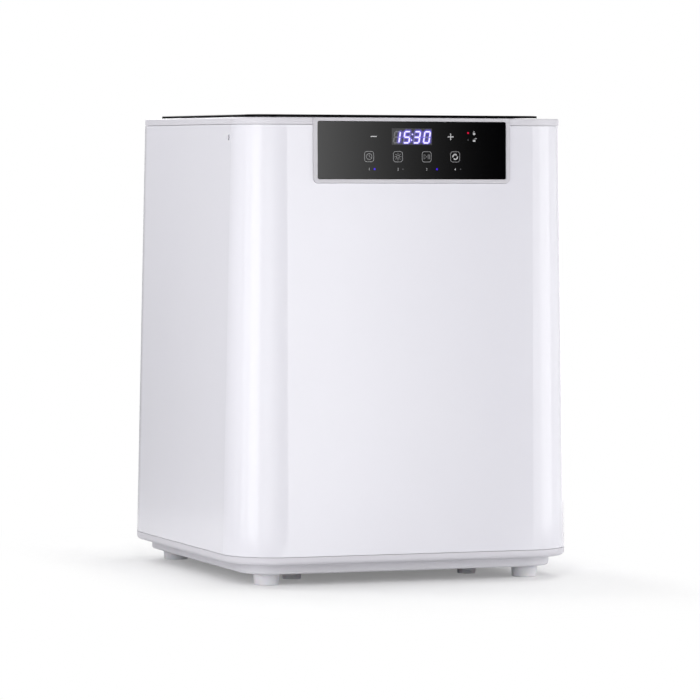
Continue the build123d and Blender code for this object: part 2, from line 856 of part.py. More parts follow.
def switch_rocker():
    """Two-winged rocker with its trunnions, tipped to the on side."""
    h = rocker_height / 2
    k = rocker_keel_width / 2
    profile = Polyline(
        (-h, rocker_skirt),
        (-h, rocker_tip),
        (0, rocker_dip),
        (h, rocker_tip),
        (h, rocker_skirt),
        (k, -rocker_keel),
        (-k, -rocker_keel),
        (-h, rocker_skirt),
    )
    # drawn with x up and y outwards, then stood up at the pivot
    face = Plane(origin=(-rocker_width / 2, 0, 0), x_dir=(0, 0, 1), z_dir=(-1, 0, 0))
    rocker = extrude(face * make_face(profile), -rocker_width)
    reach = switch_width / 2 - trunnion_gap
    rocker += bar_x(-reach, reach, 0, 0, trunnion_radius)
    return Pos(switch_x, rocker_pivot_y, service_z) * Rot(rocker_tilt, 0, 0) * rocker


def fan_frame():
    """Square fan frame with its hub carried on four struts."""
    y0, y1 = fan_front_y, fan_seat_y
    half = fan_size / 2
    frame = block(fan_x - half, fan_x + half, y0, y1, fan_z - half, fan_z + half)
    frame = fillet(frame.edges().filter_by(Axis.Y), fan_corner)
    frame -= bar_y(fan_x, y0, y1, fan_z, fan_bore)
    frame += bar_y(fan_x, y0, y0 + fan_hub_thickness, fan_z, rotor_hub_radius)
    strut = Pos(fan_bore / 2 + 1, 0, 0) * Box(fan_bore, fan_strut, fan_strut)
    for angle in (45, 135, 225, 315):
        frame += Pos(fan_x, y0 + fan_strut / 2, fan_z) * Rot(0, angle, 0) * strut
    frame -= bar_y(fan_x, y0 + 1, y1, fan_z, fan_shaft_radius + running_gap)
    for x, z in fan_screw_places:
        frame -= bar_y(x, y0, y1, z, m3_shank + screw_gap)
    return frame


def fan_rotor():
    """Fan wheel: hub cup, pitched blades and the shaft that runs in the frame's hub."""
    y0 = fan_front_y + fan_hub_thickness + swing_gap
    y1 = fan_seat_y - rotor_inset
    rotor = bar_y(0, y0, y1, 0, rotor_hub_radius)
    rotor += bar_y(0, fan_front_y + 1.5, y0, 0, fan_shaft_radius)
    tip_radius = fan_bore - swing_gap
    reach = tip_radius + blade_root - rotor_hub_radius + 1
    blade = Box(reach, blade_chord, blade_thickness)
    blade = Pos(rotor_hub_radius - blade_root + reach / 2, 0, 0) * Rot(blade_pitch, 0, 0) * blade
    for i in range(rotor_blades):
        rotor += Pos(0, (y0 + y1) / 2, 0) * Rot(0, 360 / rotor_blades * i, 0) * blade
    rotor &= bar_y(0, fan_front_y, y1, 0, tip_radius)
    return Pos(fan_x, 0, fan_z) * rotor


def fan_guard():
    """Finger guard: rings on a cross, set flush into the rear panel."""
    disc = Circle(guard_hub)
    for i in range(guard_rings):
        radius = guard_radius - guard_ring_pitch * i
        disc += Circle(radius) - Circle(radius - guard_ring_width)
    for angle in (0, 45, 90, 135):
        disc += Rot(0, 0, angle) * Rectangle(2 * guard_radius - 1, guard_spoke_width)
    seat = Plane(origin=(fan_x, guard_seat_y, fan_z), x_dir=(-1, 0, 0), z_dir=(0, 1, 0))
    return extrude(seat * disc, guard_thickness)


def fan_screws():
    """Fan screws, driven from outside through the panel."""
    length = guard_seat_y - fan_seat_y + fan_screw_grip
    fastener = Rot(-90, 0, 0) * screw(m3_head, m3_head_height, m3_shank, length)
    return [Pos(x, guard_seat_y, z) * fastener for x, z in fan_screw_places]


# ---------------------------------------------------------------- top frame
def base_leaf_box(x):
    """Seat of a hinge's base leaf, flush with the deck."""
    width = hinge_width - 2 * base_leaf_inset
    return brick(x, base_screw_line, width, base_leaf_length, z_deck - leaf_thickness, z_deck)


def hinge_pocket(x):
    """Pocket in the deck that the knuckles and the lid leaf swing in."""
    half = hinge_width / 2 + swing_gap
    return block(x - half, x + half, pocket_y0, pocket_y1, hinge_z - knuckle_radius - swing_gap, z_deck)


def hinge_pad(x):
    """Thicker deck under a hinge."""
    half = hinge_width / 2 + hinge_pad_side
    rear = pocket_y1 + base_leaf_length
    return block(x - half, x + half, pocket_y0 - wall, rear, deck_under - hinge_pad_depth, deck_under)


def hinge_screw_lines(x):
    """Where the two screws of a leaf sit across the hinge."""
    return (x - hinge_screw_spread, x + hinge_screw_spread)


def top_frame():
    """Trim line, deck and rim round the chamber mouth, with scoop, hinge pockets and lock seat."""
    frame = envelope(0, z_top + seam, z_deck)
    frame = fillet(frame.edges().group_by(Axis.Z)[-1], trim_edge)
    inset = wall + fit_gap
    frame += envelope(inset, z_top - tongue_height, z_top + seam)
    frame -= envelope(inset + tongue_wall, z_top - tongue_height, deck_under)
    frame += mouth_prism(rim_wall, z_rim, z_deck)
    # finger scoop: a shallow well with its own floor
    half = scoop_width / 2
    rear = lid_front_y + scoop_under_lid
    front = rear - scoop_reach
    well = block(-half, half, front, rear, z_deck - scoop_depth, z_deck)
    well = fillet(well.edges().filter_by(Axis.Z), scoop_corner)
    low = z_deck - scoop_depth - wall
    frame += block(-half - wall, half + wall, front - wall, rear + wall, low, deck_under)
    frame -= well
    for x in hinge_centres:
        frame += hinge_pad(x)
        frame -= hinge_pocket(x)
        frame -= base_leaf_box(x)
        for line in hinge_screw_lines(x):
            frame -= post(line, base_screw_line, z_deck - hinge_screw_bore, z_deck, hinge_shank + screw_gap)
    tab_x = side_tab_face - side_tab_thickness / 2
    for x in (-tab_x, tab_x):
        low = side_screw_z - side_tab_below
        frame += brick(x, side_screw_y, side_tab_thickness, side_tab_width, low, z_top)
    for hole in side_screw_holes(m3_shank + screw_gap):
        frame -= hole
    frame -= mouth_prism(0, z_rim, z_deck)
    frame -= front_notch(fit_gap)
    frame -= bar_y(lock_x, rim_front_y - 1, rim_front_y + rim_wall + 1, bolt_z, bolt_radius + swing_gap)
    return frame


def hinge_base_leaves():
    """Leaf screwed to the deck, with the middle knuckle."""
    leaves = []
    third = hinge_width / 6 - knuckle_gap / 2
    low = z_deck - leaf_thickness
    for x in hinge_centres:
        leaf = base_leaf_box(x)
        leaf += block(x - third, x + third, hinge_y, pocket_y1, low, z_deck)
        leaf += bar_x(x - third, x + third, hinge_y, hinge_z, knuckle_radius)
        leaf -= bar_x(x - third, x + third, hinge_y, hinge_z, hinge_pin_radius + running_gap)
        for line in hinge_screw_lines(x):
            leaf -= post(line, base_screw_line, low, z_deck, hinge_shank + screw_gap)
            seat = z_deck - hinge_head_height
            leaf -= post(line, base_screw_line, seat, z_deck, hinge_head + hinge_head_gap)
        leaves.append(leaf)
    return leaves


def hinge_lid_leaves():
    """Leaf fixed under the lid panel, with the two outer knuckles."""
    leaves = []
    third = hinge_width / 6 + knuckle_gap / 2
    half = hinge_width / 2
    z0 = lid_leaf_bottom
    for x in hinge_centres:
        leaf = block(x - half, x + half, lid_leaf_front, hinge_y - knuckle_radius, z0, z_lid)
        for x0, x1 in ((x - half, x - third), (x + third, x + half)):
            leaf += block(x0, x1, hinge_y - knuckle_radius - 1, hinge_y, z0, z_lid)
            leaf += bar_x(x0, x1, hinge_y, hinge_z, knuckle_radius)
            leaf -= bar_x(x0, x1, hinge_y, hinge_z, hinge_pin_radius)
        for line in hinge_screw_lines(x):
            leaf -= post(line, lid_screw_line, z0, z_lid, hinge_shank + screw_gap)
            leaf -= post(line, lid_screw_line, z0, z0 + hinge_head_height, hinge_head + hinge_head_gap)
        leaves.append(leaf)
    return leaves


def hinge_pins():
    """Pins held in the outer knuckles."""
    half = hinge_width / 2
    return [bar_x(x - half, x + half, hinge_y, hinge_z, hinge_pin_radius) for x in hinge_centres]


def hinge_base_screws():
    """Countersunk screws of the base leaves, heads flush with the deck."""
    fastener = screw(hinge_head, hinge_head_height, hinge_shank, hinge_screw_length)
    places = [line for x in hinge_centres for line in hinge_screw_lines(x)]
    return [Pos(x, base_screw_line, z_deck - hinge_head_height) * fastener for x in places]


def hinge_lid_screws():
    """Short screws of the lid leaves, driven up into the lid panel."""
    fastener = Rot(180, 0, 0) * screw(hinge_head, hinge_head_height, hinge_shank, lid_screw_length)
    places = [line for x in hinge_centres for line in hinge_screw_lines(x)]
    return [Pos(x, lid_screw_line, lid_leaf_bottom + hinge_head_height) * fastener for x in places]


# ---------------------------------------------------------------- lid
def lid_panel():
    """Dark acrylic sheet with rounded corners and softened upper edge."""
    panel = rounded_prism(lid_width, lid_depth, lid_radius, z_lid, z_lid + lid_thickness, y=chamber_y)
    panel = fillet(panel.edges().group_by(Axis.Z)[-1], lid_edge)
    for x in hinge_centres:
        for line in hinge_screw_lines(x):
            panel -= post(line, lid_screw_line, z_lid, z_lid + lid_screw_bore, hinge_shank + screw_gap)
    return panel


def lid_frame():
    """Shallow rim under the lid panel that drops into the chamber mouth."""
    outer = mouth_prism(-lid_frame_gap, z_lid - lid_frame_depth, z_lid)
    return outer - mouth_prism(-lid_frame_gap - lid_frame_wall, z_lid - lid_frame_depth, z_lid)


def lid_strike():
    """Steel plate behind the front of the lid frame, with the window that the bolt enters."""
    y0 = lid_frame_inner_y
    y1 = y0 + strike_thickness
    side = strike_width / 2
    plate = block(lock_x - side, lock_x + side, y0, y1, bolt_z - strike_below, z_lid - strike_top_gap)
    half = bolt_radius + strike_play
    return plate - block(lock_x - half, lock_x + half, y0, y1, bolt_z - half, bolt_z + half)


def lid_magnet():
    """Magnet that the lid sensor reads through the rim."""
    y = lid_frame_inner_y + magnet_thickness / 2
    return brick(-lock_x, y, magnet_length, magnet_thickness, z_lid - magnet_height, z_lid)


def lid_sensor():
    """Reed sensor against the outside of the rim."""
    y = rim_front_y - sensor_thickness / 2
    return brick(-lock_x, y, sensor_length, sensor_thickness, deck_under - sensor_height, deck_under)


def lock_solenoid():
    """Coil housing under the deck, bored for the bolt."""
    y1 = rim_front_y - solenoid_gap
    y = y1 - solenoid_length / 2
    body = brick(lock_x, y, solenoid_width, solenoid_length, deck_under - solenoid_height, deck_under)
    bore_end = bolt_tip_y - bolt_length - bolt_end_gap
    return body - bar_y(lock_x, bore_end, y1, bolt_z, bolt_radius + running_gap)


def lock_bolt():
    """Round bolt, drawn back clear of the mouth."""
    bolt = bar_y(lock_x, bolt_tip_y - bolt_length, bolt_tip_y, bolt_z, bolt_radius)
    return chamfer(bolt.edges().group_by(Axis.Y)[-1], bolt_edge)


# ---------------------------------------------------------------- control panel
def control_bezel():
    """Pale frame that hangs from the top trim line and holds the glass."""
    sheet = window(body_width, 0, shell_height + top_trim_height + past)
    bezel = front_notch(0) & on_face(front_plane, sheet, bezel_back, bezel_proud)
    bezel &= block(-side_x, side_x, front_y - past, 0, z_shell, z_deck)
    bezel = fillet(bezel.faces().sort_by(Axis.Y)[0].edges(), bezel_edge)
    g = glass_gap
    pocket = window(glass_width + 2 * g, glass_bottom - g, glass_top + g, glass_corner + g, x=panel_x)
    bezel -= on_face(front_plane, pocket, glass_back, bezel_proud + 1)
    ledge = glass_ledge
    opening = window(
        glass_width - 2 * ledge, glass_bottom + ledge, glass_top - ledge, opening_corner, x=panel_x
    )
    return bezel - on_face(front_plane, opening, bezel_back, glass_back)


def control_glass():
    """Black glass over the display and touch keys."""
    outline = window(glass_width, glass_bottom, glass_top, glass_corner, x=panel_x)
    glass = on_face(front_plane, outline, glass_back, glass_front)
    return chamfer(glass.faces().sort_by(Axis.Y)[0].edges(), glass_edge)


def control_board():
    """Circuit board on the back of the bezel, with controller chip, buzzer and ribbon socket."""
    m = control_board_margin
    outline = window(glass_width - 2 * m, glass_bottom + m, glass_top - m, x=panel_x)
    board = on_face(front_plane, outline, board_back, bezel_back)
    chip = Pos(controller_x, key_v) * Rectangle(controller_size, controller_size)
    board += on_face(front_plane, chip, board_back - controller_height, board_back)
    buzzer = Pos(buzzer_x, key_v) * (Circle(buzzer_radius) - Circle(buzzer_port))
    board += on_face(front_plane, buzzer, board_back - buzzer_height, board_back)
    socket = Pos(ribbon_x, key_v) * Rectangle(ribbon_width + 2 * socket_side, socket_height)
    return board + on_face(front_plane, socket, board_back - socket_depth, board_back)


def display_module():
    """Four-digit display body between board and glass."""
    outline = Pos(0, display_v) * Rectangle(display_width, display_height)
    return on_face(front_plane, outline, bezel_back, glass_back - display_gap)


def indicator_leds():
    """Small lamps on the board behind the key dots and lock signs."""
    places = [(x, dot_v) for x in dot_x] + [(lock_light_x, v) for v in lock_light_v]
    lamp = Rectangle(lamp_width, lamp_length)
    return [on_face(front_plane, Pos(x, v) * lamp, bezel_back, bezel_back + lamp_height) for x, v in places]


def touch_springs():
    """Contact springs that press each touch field's pad against the glass."""
    places = [(x, key_v) for x in key_x] + [(-sign_x, sign_v), (sign_x, sign_v)]
    ring = Circle(touch_spring_radius) - Circle(touch_spring_radius - touch_spring_wire)
    return [on_face(front_plane, Pos(x, v) * ring, bezel_back, glass_back) for x, v in places]


def control_ribbon():
    """Flat cable from the control board down the front cavity to the main board."""
    outward = front_plane.z_dir * (board_back - socket_depth - socket_gap)
    start = front_plane.origin + front_plane.y_dir * key_v + outward
    x0 = ribbon_x - ribbon_width / 2
    x1 = ribbon_x + ribbon_width / 2
    t = ribbon_thickness
    drop_y = start.Y + ribbon_reach
    turn_z = board_z + ribbon_rise
    end_z = board_z + board_thickness + ribbon_socket_height
    return (
        block(x0, x1, start.Y, drop_y, start.Z - t / 2, start.Z + t / 2)
        + block(x0, x1, drop_y, drop_y + t, turn_z, start.Z + t / 2)
        + block(x0, x1, drop_y, ribbon_end_y + t / 2, turn_z, turn_z + t)
        + block(x0, x1, ribbon_end_y - t / 2, ribbon_end_y + t / 2, end_z, turn_z)
    )


# ---------------------------------------------------------------- chamber
def liners():
    """Four mirror sheets between the chamber floor and the deck."""
    t = liner_thickness
    z1 = z_rim + liner_overlap
    # each sheet ends where the corner posts start
    reach_x = corner_x - post_width / 2 * math.sqrt(0.5)
    reach_y = corner_y - post_width / 2 * math.sqrt(0.5)
    return {
        "liner_left": brick(-liner_x - t / 2, chamber_y, t, 2 * reach_y, floor_top, z1),
        "liner_right": brick(liner_x + t / 2, chamber_y, t, 2 * reach_y, floor_top, z1),
        "liner_front": brick(0, chamber_y - liner_y - t / 2, 2 * reach_x, t, floor_top, z1),
        "liner_rear": brick(0, chamber_y + liner_y + t / 2, 2 * reach_x, t, floor_top, z1),
    }


def at_corner(index, shape):
    """Place a shape drawn at the origin, with +X pointing into the chamber, in one corner."""
    sx = (-1, 1, 1, -1)[index]
    sy = (-1, -1, 1, 1)[index]
    turn = math.degrees(math.atan2(-sy, -sx))
    return Pos(sx * corner_x, chamber_y + sy * corner_y, 0) * Rot(0, 0, turn) * shape


def corner_posts():
    """Aluminium strips with two cooling fins each, from the chamber floor to the rim."""
    half = post_width / 2
    t = post_fin_thickness
    back = -post_thickness - post_fin
    strip = block(-post_thickness, 0, -half, half, floor_top, z_rim)
    for y in (-half / 2, half / 2 - t):
        strip += block(back, -post_thickness, y, y + t, floor_top, z_rim)
    return [at_corner(i, strip) for i in range(4)]


def led_boards():
    """One circuit strip on each corner post."""
    half = led_board_width / 2
    strip = block(0, led_board_thickness, -half, half, led_z0, led_z1)
    return [at_corner(i, strip) for i in range(4)]


def led_covers():
    """Clear channel over each strip, closed at both ends."""
    half = led_cover_width / 2
    w = led_cover_wall
    z0 = led_z0 - led_cover_end
    z1 = led_z1 + led_cover_end
    cover = block(0, led_cover_depth, -half, half, z0, z1)
    cover = fillet(cover.edges().filter_by(Axis.Z).group_by(Axis.X)[-1], led_cover_corner)
    cover -= block(0, led_cover_depth - w, -half + w, half - w, z0 + w, z1 - w)
    return [at_corner(i, cover) for i in range(4)]


def uv_leds():
    """The ultraviolet emitters on the corner strips and on the two base boards."""
    half = led_size / 2
    x0 = led_board_thickness
    pitch = (led_z1 - led_z0) / leds_per_board
    lamps = []
    for i in range(leds_per_board):
        z = led_z0 + pitch * (i + 0.5)
        lamp = block(x0, x0 + led_height, -half, half, z - half, z + half)
        lamps += [at_corner(corner, lamp) for corner in range(4)]
    pitch = base_light_length / base_leds
    z = base_board_top
    for y in (chamber_y - base_light_y, chamber_y + base_light_y):
        for i in range(base_leds):
            x = pitch * (i + 0.5) - base_light_length / 2
            lamps.append(brick(x, y, led_size, led_size, z, z + led_height))
    return lamps


def window_plate(y, grow):
    """Clear plate let into the chamber floor, grown for its seat."""
    width = base_light_length - 2 * clip_length + 2 * (window_rest + grow)
    depth = led_board_width + 2 * (window_rest + grow)
    return brick(0, y, width, depth, floor_top - window_thickness, floor_top)


def chamber_floor():
    """Floor of the chamber, with the bushing hole, light windows and board clips."""
    width = 2 * (liner_x + liner_thickness)
    depth = 2 * (liner_y + liner_thickness)
    floor = rounded_prism(width, depth, floor_corner, floor_under, floor_top, y=chamber_y)
    clip_x = (base_light_length - clip_length) / 2
    length = base_light_length - 2 * clip_length
    for y in (chamber_y - base_light_y, chamber_y + base_light_y):
        for x in (-clip_x, clip_x):
            floor += brick(x, y, clip_length, led_board_width, base_board_top, floor_under)
        floor -= brick(0, y, length, led_board_width, floor_under, floor_top)
        floor -= window_plate(y, fit_gap)
    floor -= post(0, chamber_y, floor_under, floor_top, bushing_radius + running_gap)
    for x, y in pillars + bracket_screw_places:
        floor -= post(x, y, floor_under, floor_top, m3_shank + screw_gap)
    return floor


def base_windows():
    """Clear windows over the two base boards."""
    return [window_plate(chamber_y + y, 0) for y in (-base_light_y, base_light_y)]


def base_led_boards():
    """Circuit strips clipped under the chamber floor."""
    z0 = base_board_top - led_board_thickness
    places = (chamber_y - base_light_y, chamber_y + base_light_y)
    return [brick(0, y, base_light_length, led_board_width, z0, base_board_top) for y in places]


def deck_pillars():
    """Steel pillars between pan and chamber floor."""
    return [post(x, y, pan_floor, floor_under, pillar_radius) for x, y in pillars]


# ---------------------------------------------------------------- turntable
bracket_hole = bracket_width / 2 - bracket_hole_inset
bracket_screw_places = [(x, chamber_y + y) for x, y in mirrored(bracket_hole, bracket_hole)]


def motor_bracket():
    """Plate that hangs the gear motor under the chamber floor."""
    z0 = bracket_bottom
    z1 = z0 + bracket_thickness
    plate = brick(0, chamber_y, bracket_width, bracket_width, z0, z1)
    plate = fillet(plate.edges().filter_by(Axis.Z), bracket_corner)
    for x, y in bracket_screw_places:
        plate += post(x, y, z0, floor_under, bracket_post_radius)
        plate -= post(x, y, z0, floor_under, m3_shank + screw_gap)
    return plate - post(0, chamber_y, z0, z1, bushing_radius + bracket_bore_gap)


def gear_motor():
    """Gearbox and motor can, bored for the output shaft."""
    can_top = bracket_bottom - gearbox_height
    can_bottom = can_top - motor_height
    body = post(0, chamber_y, can_top, bracket_bottom, gearbox_radius)
    body += post(0, chamber_y, can_bottom, can_top, motor_radius)
    body += post(0, chamber_y, can_bottom - motor_tail_height, can_bottom, motor_tail_radius)
    bore_end = bracket_bottom - shaft_grip - shaft_end_gap
    return body - post(0, chamber_y, bore_end, bracket_bottom, shaft_radius + running_gap)


def turntable_bushing():
    """Flanged plain bearing in the chamber floor."""
    z0 = floor_under - bushing_below
    z1 = floor_top + bushing_flange
    bush = post(0, chamber_y, z0, floor_top, bushing_radius)
    bush += post(0, chamber_y, floor_top, z1, bushing_flange_radius)
    return bush - post(0, chamber_y, z0, z1, shaft_radius + running_gap)


def drive_shaft():
    """Output shaft from the gearbox up into the hub."""
    return post(0, chamber_y, bracket_bottom - shaft_grip, table_z, shaft_radius)


def turntable_hub():
    """Hub disc under the turntable, with a nose through its centre."""
    hub = post(0, chamber_y, table_z - hub_thickness, table_z, hub_radius)
    middle = (hub_bottom + table_z) / 2
    hub += Pos(0, chamber_y, middle) * Cone(hub_cone_low, hub_cone_high, table_z - hub_bottom)
    nose = post(0, chamber_y, table_z, table_z + table_thickness + hub_nose_height, hub_nose_radius)
    hub += fillet(nose.edges().group_by(Axis.Z)[-1], hub_nose_edge)
    return hub - post(0, chamber_y, hub_bottom, table_z, shaft_radius)


def turntable_plate():
    """Clear round plate that carries the prints, with a fine raised edge."""
    top = table_z + table_thickness
    plate = post(0, chamber_y, table_z, top, table_radius)
    rim = post(0, chamber_y, table_z, top + table_rim_height, table_radius)
    rim -= post(0, chamber_y, table_z, top + table_rim_height, table_radius - table_rim_width)
    return plate + rim - post(0, chamber_y, table_z, top, hub_nose_radius)


# ---------------------------------------------------------------- base electronics
def power_supply():
    """Enclosed mains supply with vent slots and a terminal strip."""
    top = supply_z + supply_height
    front = supply_y - supply_depth / 2
    case = brick(supply_x, supply_y, supply_width, supply_depth, supply_z, top)
    case = fillet(case.edges().filter_by(Axis.Y), supply_edge)
    slot_length = supply_width - 2 * supply_slot_inset
    for i in range(supply_slot_count):
        y = front + supply_slot_start + supply_slot_width / 2 + supply_slot_pitch * i
        case -= brick(supply_x, y, slot_length, supply_slot_width, top - supply_skin, top)
    sill = supply_z + terminal_sill
    y = front + terminal_bay_depth / 2
    case -= brick(supply_x, y, supply_width - 2 * terminal_bay_side, terminal_bay_depth, sill, top)
    depth = terminal_bay_depth - terminal_front
    for i in range(terminal_count):
        x = supply_x + (i - (terminal_count - 1) / 2) * terminal_pitch
        y = front + terminal_front + depth / 2
        case += brick(x, y, terminal_width, depth, sill, sill + terminal_height)
    return case


def main_board():
    """Driver board with capacitors, heat sink, relay, controller chip and sockets."""
    left = board_x - board_width / 2
    right = board_x + board_width / 2
    front = board_y - board_depth / 2
    rear = board_y + board_depth / 2
    z = board_z + board_thickness
    board = brick(board_x, board_y, board_width, board_depth, board_z, z)
    width = ribbon_width + 2 * socket_side
    board += brick(ribbon_x, ribbon_end_y, width, ribbon_socket_depth, z, z + ribbon_socket_height)
    for x in (left + capacitor_inset, left + capacitor_inset + capacitor_pitch):
        board += post(x, rear - capacitor_inset, z, z + capacitor_height, capacitor_radius)
    board += brick(right - relay_inset, rear - relay_inset, relay_width, relay_depth, z, z + relay_height)
    sink_x = left + sink_inset
    board += brick(sink_x, board_y, sink_width, sink_depth, z, z + sink_base)
    fin_pitch = (sink_width - sink_fin_thickness) / (sink_fins - 1)
    for i in range(sink_fins):
        x = sink_x - (sink_width - sink_fin_thickness) / 2 + fin_pitch * i
        board += brick(x, board_y, sink_fin_thickness, sink_depth, z, z + sink_height)
    board += brick(right - chip_inset, front + chip_inset, chip_size, chip_size, z, z + chip_height)
    for i in range(plug_count):
        y = front + plug_start + plug_pitch * i
        board += brick(right - plug_depth / 2, y, plug_depth, plug_width, z, z + plug_height)
    return board


# ---------------------------------------------------------------- write every sub-part
sub_parts = {
    "inner_feet": [foot(x, y, inner_foot_top_radius, inner_foot_base_radius) for x, y in inner_feet],
    "base_pan": base_pan(),
    "standoffs": standoffs(),
    "lower_trim_ring": lower_trim_ring(),
    "base_screws": base_screws(),
    "outer_shell": outer_shell(),
    "rear_panel": rear_panel(),
    "case_screws": case_screws(),
    "ac_inlet": ac_inlet(),
    "inlet_pins": inlet_pins(),
    "switch_housing": switch_housing(),
    "switch_rocker": switch_rocker(),
    "fan_frame": fan_frame(),
    "fan_rotor": fan_rotor(),
    "fan_guard": fan_guard(),
    "fan_screws": fan_screws(),
    "top_frame": top_frame(),
    "hinge_base_leaves": hinge_base_leaves(),
    "hinge_lid_leaves": hinge_lid_leaves(),
    "hinge_pins": hinge_pins(),
    "hinge_base_screws": hinge_base_screws(),
    "hinge_lid_screws": hinge_lid_screws(),
    "lid_panel": lid_panel(),
    "lid_frame": lid_frame(),
    "lid_strike": lid_strike(),
    "lid_magnet": lid_magnet(),
    "lid_sensor": lid_sensor(),
    "lock_solenoid": lock_solenoid(),
    "lock_bolt": lock_bolt(),
    "control_bezel": control_bezel(),
    "control_glass": control_glass(),
    "control_board": control_board(),
    "display_module": display_module(),
    "indicator_leds": indicator_leds(),
    "touch_springs": touch_springs(),
    "control_ribbon": control_ribbon(),
    "corner_posts": corner_posts(),
    "led_boards": led_boards(),
    "led_covers": led_covers(),
    "uv_leds": uv_leds(),
    "chamber_floor": chamber_floor(),
    "base_windows": base_windows(),
    "base_led_boards": base_led_boards(),
    "deck_pillars": deck_pillars(),
    "motor_bracket": motor_bracket(),
    "gear_motor": gear_motor(),
    "turntable_bushing": turntable_bushing(),
    "drive_shaft": drive_shaft(),
    "turntable_hub": turntable_hub(),
    "turntable_plate": turntable_plate(),
    "power_supply": power_supply(),
    "main_board": main_board(),
}
sub_parts.update(liners())
for name, (x, y) in outer_feet.items():
    sub_parts[name] = foot(x, y, foot_top_radius, foot_base_radius)

os.makedirs("parts", exist_ok=True)
for name, shape in sub_parts.items():
    write(name, shape)
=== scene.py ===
# %% [markdown]
# # A curing cabinet for dental resin prints
# The cabinet is a glossy white box with a dark flat lid, a black touch panel
# and low feet. Its solid pieces come ready made, at their real size, from a
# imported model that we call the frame. This lesson dresses that frame: it
# gives each piece the finish of the real thing, adds the printed signs and
# the lit digits, and sets up a small studio around it.
#
# Everything is in metres, the front faces -Y, and the floor is z = 0.

# %% Load the frame
import math

import bpy
from mathutils import Matrix, Vector


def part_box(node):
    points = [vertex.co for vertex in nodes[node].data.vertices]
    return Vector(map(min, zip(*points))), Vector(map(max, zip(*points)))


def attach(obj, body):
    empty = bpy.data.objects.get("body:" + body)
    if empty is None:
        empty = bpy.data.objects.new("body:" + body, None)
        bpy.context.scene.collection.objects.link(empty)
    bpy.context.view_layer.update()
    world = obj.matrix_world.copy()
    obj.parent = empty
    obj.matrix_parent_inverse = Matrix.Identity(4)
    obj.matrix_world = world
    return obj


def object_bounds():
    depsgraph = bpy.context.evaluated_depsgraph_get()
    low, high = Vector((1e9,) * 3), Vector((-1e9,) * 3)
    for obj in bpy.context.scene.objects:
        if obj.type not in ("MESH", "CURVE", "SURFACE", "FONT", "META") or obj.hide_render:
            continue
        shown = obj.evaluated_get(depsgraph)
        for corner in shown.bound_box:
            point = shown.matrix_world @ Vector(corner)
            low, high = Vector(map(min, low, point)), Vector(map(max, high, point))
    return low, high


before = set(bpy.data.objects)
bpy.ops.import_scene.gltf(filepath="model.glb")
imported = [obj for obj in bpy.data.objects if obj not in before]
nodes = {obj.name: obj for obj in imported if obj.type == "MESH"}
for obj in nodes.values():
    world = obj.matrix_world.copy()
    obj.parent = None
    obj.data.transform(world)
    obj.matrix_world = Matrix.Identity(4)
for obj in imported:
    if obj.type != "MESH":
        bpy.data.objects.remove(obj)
cad_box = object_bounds()
MM = 0.001
print("frame loaded:", len(nodes), "nodes")

# %% [markdown]
# ## The camera
# A long lens far away keeps the uprights nearly parallel, as catalogue
# pictures do. Rather than aim the camera with a constraint, we work its axes
# out from three angles, because then every number means something: how far
# it is walked round to the left, how far it looks down, and how far it is
# rolled.

# %% Camera
camera_turn = math.radians(20.49)
camera_dip = math.radians(2.569)
camera_roll = math.radians(0.2)
camera_distance = 4862 * MM
camera_height = 465.9 * MM
camera_shift = 3.0 * MM
sensor_width = 36.0
focal_pixels = 4279.4
frame_pixels = 700

ahead = Vector((math.sin(camera_turn), math.cos(camera_turn), 0))
across = Vector((math.cos(camera_turn), -math.sin(camera_turn), 0))
up = Vector((0, 0, 1))
sight = ahead * math.cos(camera_dip) - up * math.sin(camera_dip)
crown = up * math.cos(camera_dip) + ahead * math.sin(camera_dip)
right = across * math.cos(camera_roll) + crown * math.sin(camera_roll)
top = crown * math.cos(camera_roll) - across * math.sin(camera_roll)

lens = bpy.data.cameras.new("camera")
lens.sensor_width = sensor_width
lens.lens = sensor_width * focal_pixels / frame_pixels
lens.clip_end = 50
camera = bpy.data.objects.new("camera", lens)
bpy.context.scene.collection.objects.link(camera)
stand = ahead * -camera_distance + across * camera_shift + up * camera_height
turn = Matrix((right, top, -sight)).transposed().to_4x4()
camera.matrix_world = Matrix.Translation(stand) @ turn
bpy.context.scene.camera = camera
print("lens:", round(lens.lens, 1), "mm at", [round(c, 3) for c in stand])

# %% [markdown]
# ## Colours and nodes
# Colours are written as the hex values that a paint program shows, and one
# function turns them into the linear numbers that the renderer works with.
# A second function adds one shader node with its settings and its links, so
# that a material below reads as a short list of nodes. A third starts a
# material from the Principled surface.


# %% Colour and node helpers
def linear(code):
    """sRGB hex code to linear red, green and blue, and an alpha of 1."""
    parts = [int(code[i : i + 2], 16) / 255 for i in (0, 2, 4)]
    return [c / 12.92 if c <= 0.04045 else ((c + 0.055) / 1.055) ** 2.4 for c in parts] + [1.0]


def add(tree, kind, settings=(), links=()):
    """Add a node: settings fill its sockets or properties, links join its inputs to other nodes."""
    node = tree.nodes.new(kind)
    for name, value in dict(settings).items():
        if isinstance(name, int) or name in node.inputs:
            node.inputs[name].default_value = value
        else:
            setattr(node, name, value)
    for name, (source, output) in dict(links).items():
        tree.links.new(source.outputs[output], node.inputs[name])
    return node


def bare_material(name):
    """A material with no nodes yet; returns it with its tree."""
    material = bpy.data.materials.new(name)
    material.use_nodes = True
    material.node_tree.nodes.clear()
    return material, material.node_tree


def new_material(name, **sockets):
    """A material with a Principled surface; returns it with its tree and surface node."""
    material, tree = bare_material(name)
    settings = {socket.replace("_", " "): value for socket, value in sockets.items()}
    surface = add(tree, "ShaderNodeBsdfPrincipled", settings)
    add(tree, "ShaderNodeOutputMaterial", links={"Surface": (surface, "BSDF")})
    return material, tree, surface


print("the grey 808080 is", round(linear("808080")[0], 3), "in linear light")

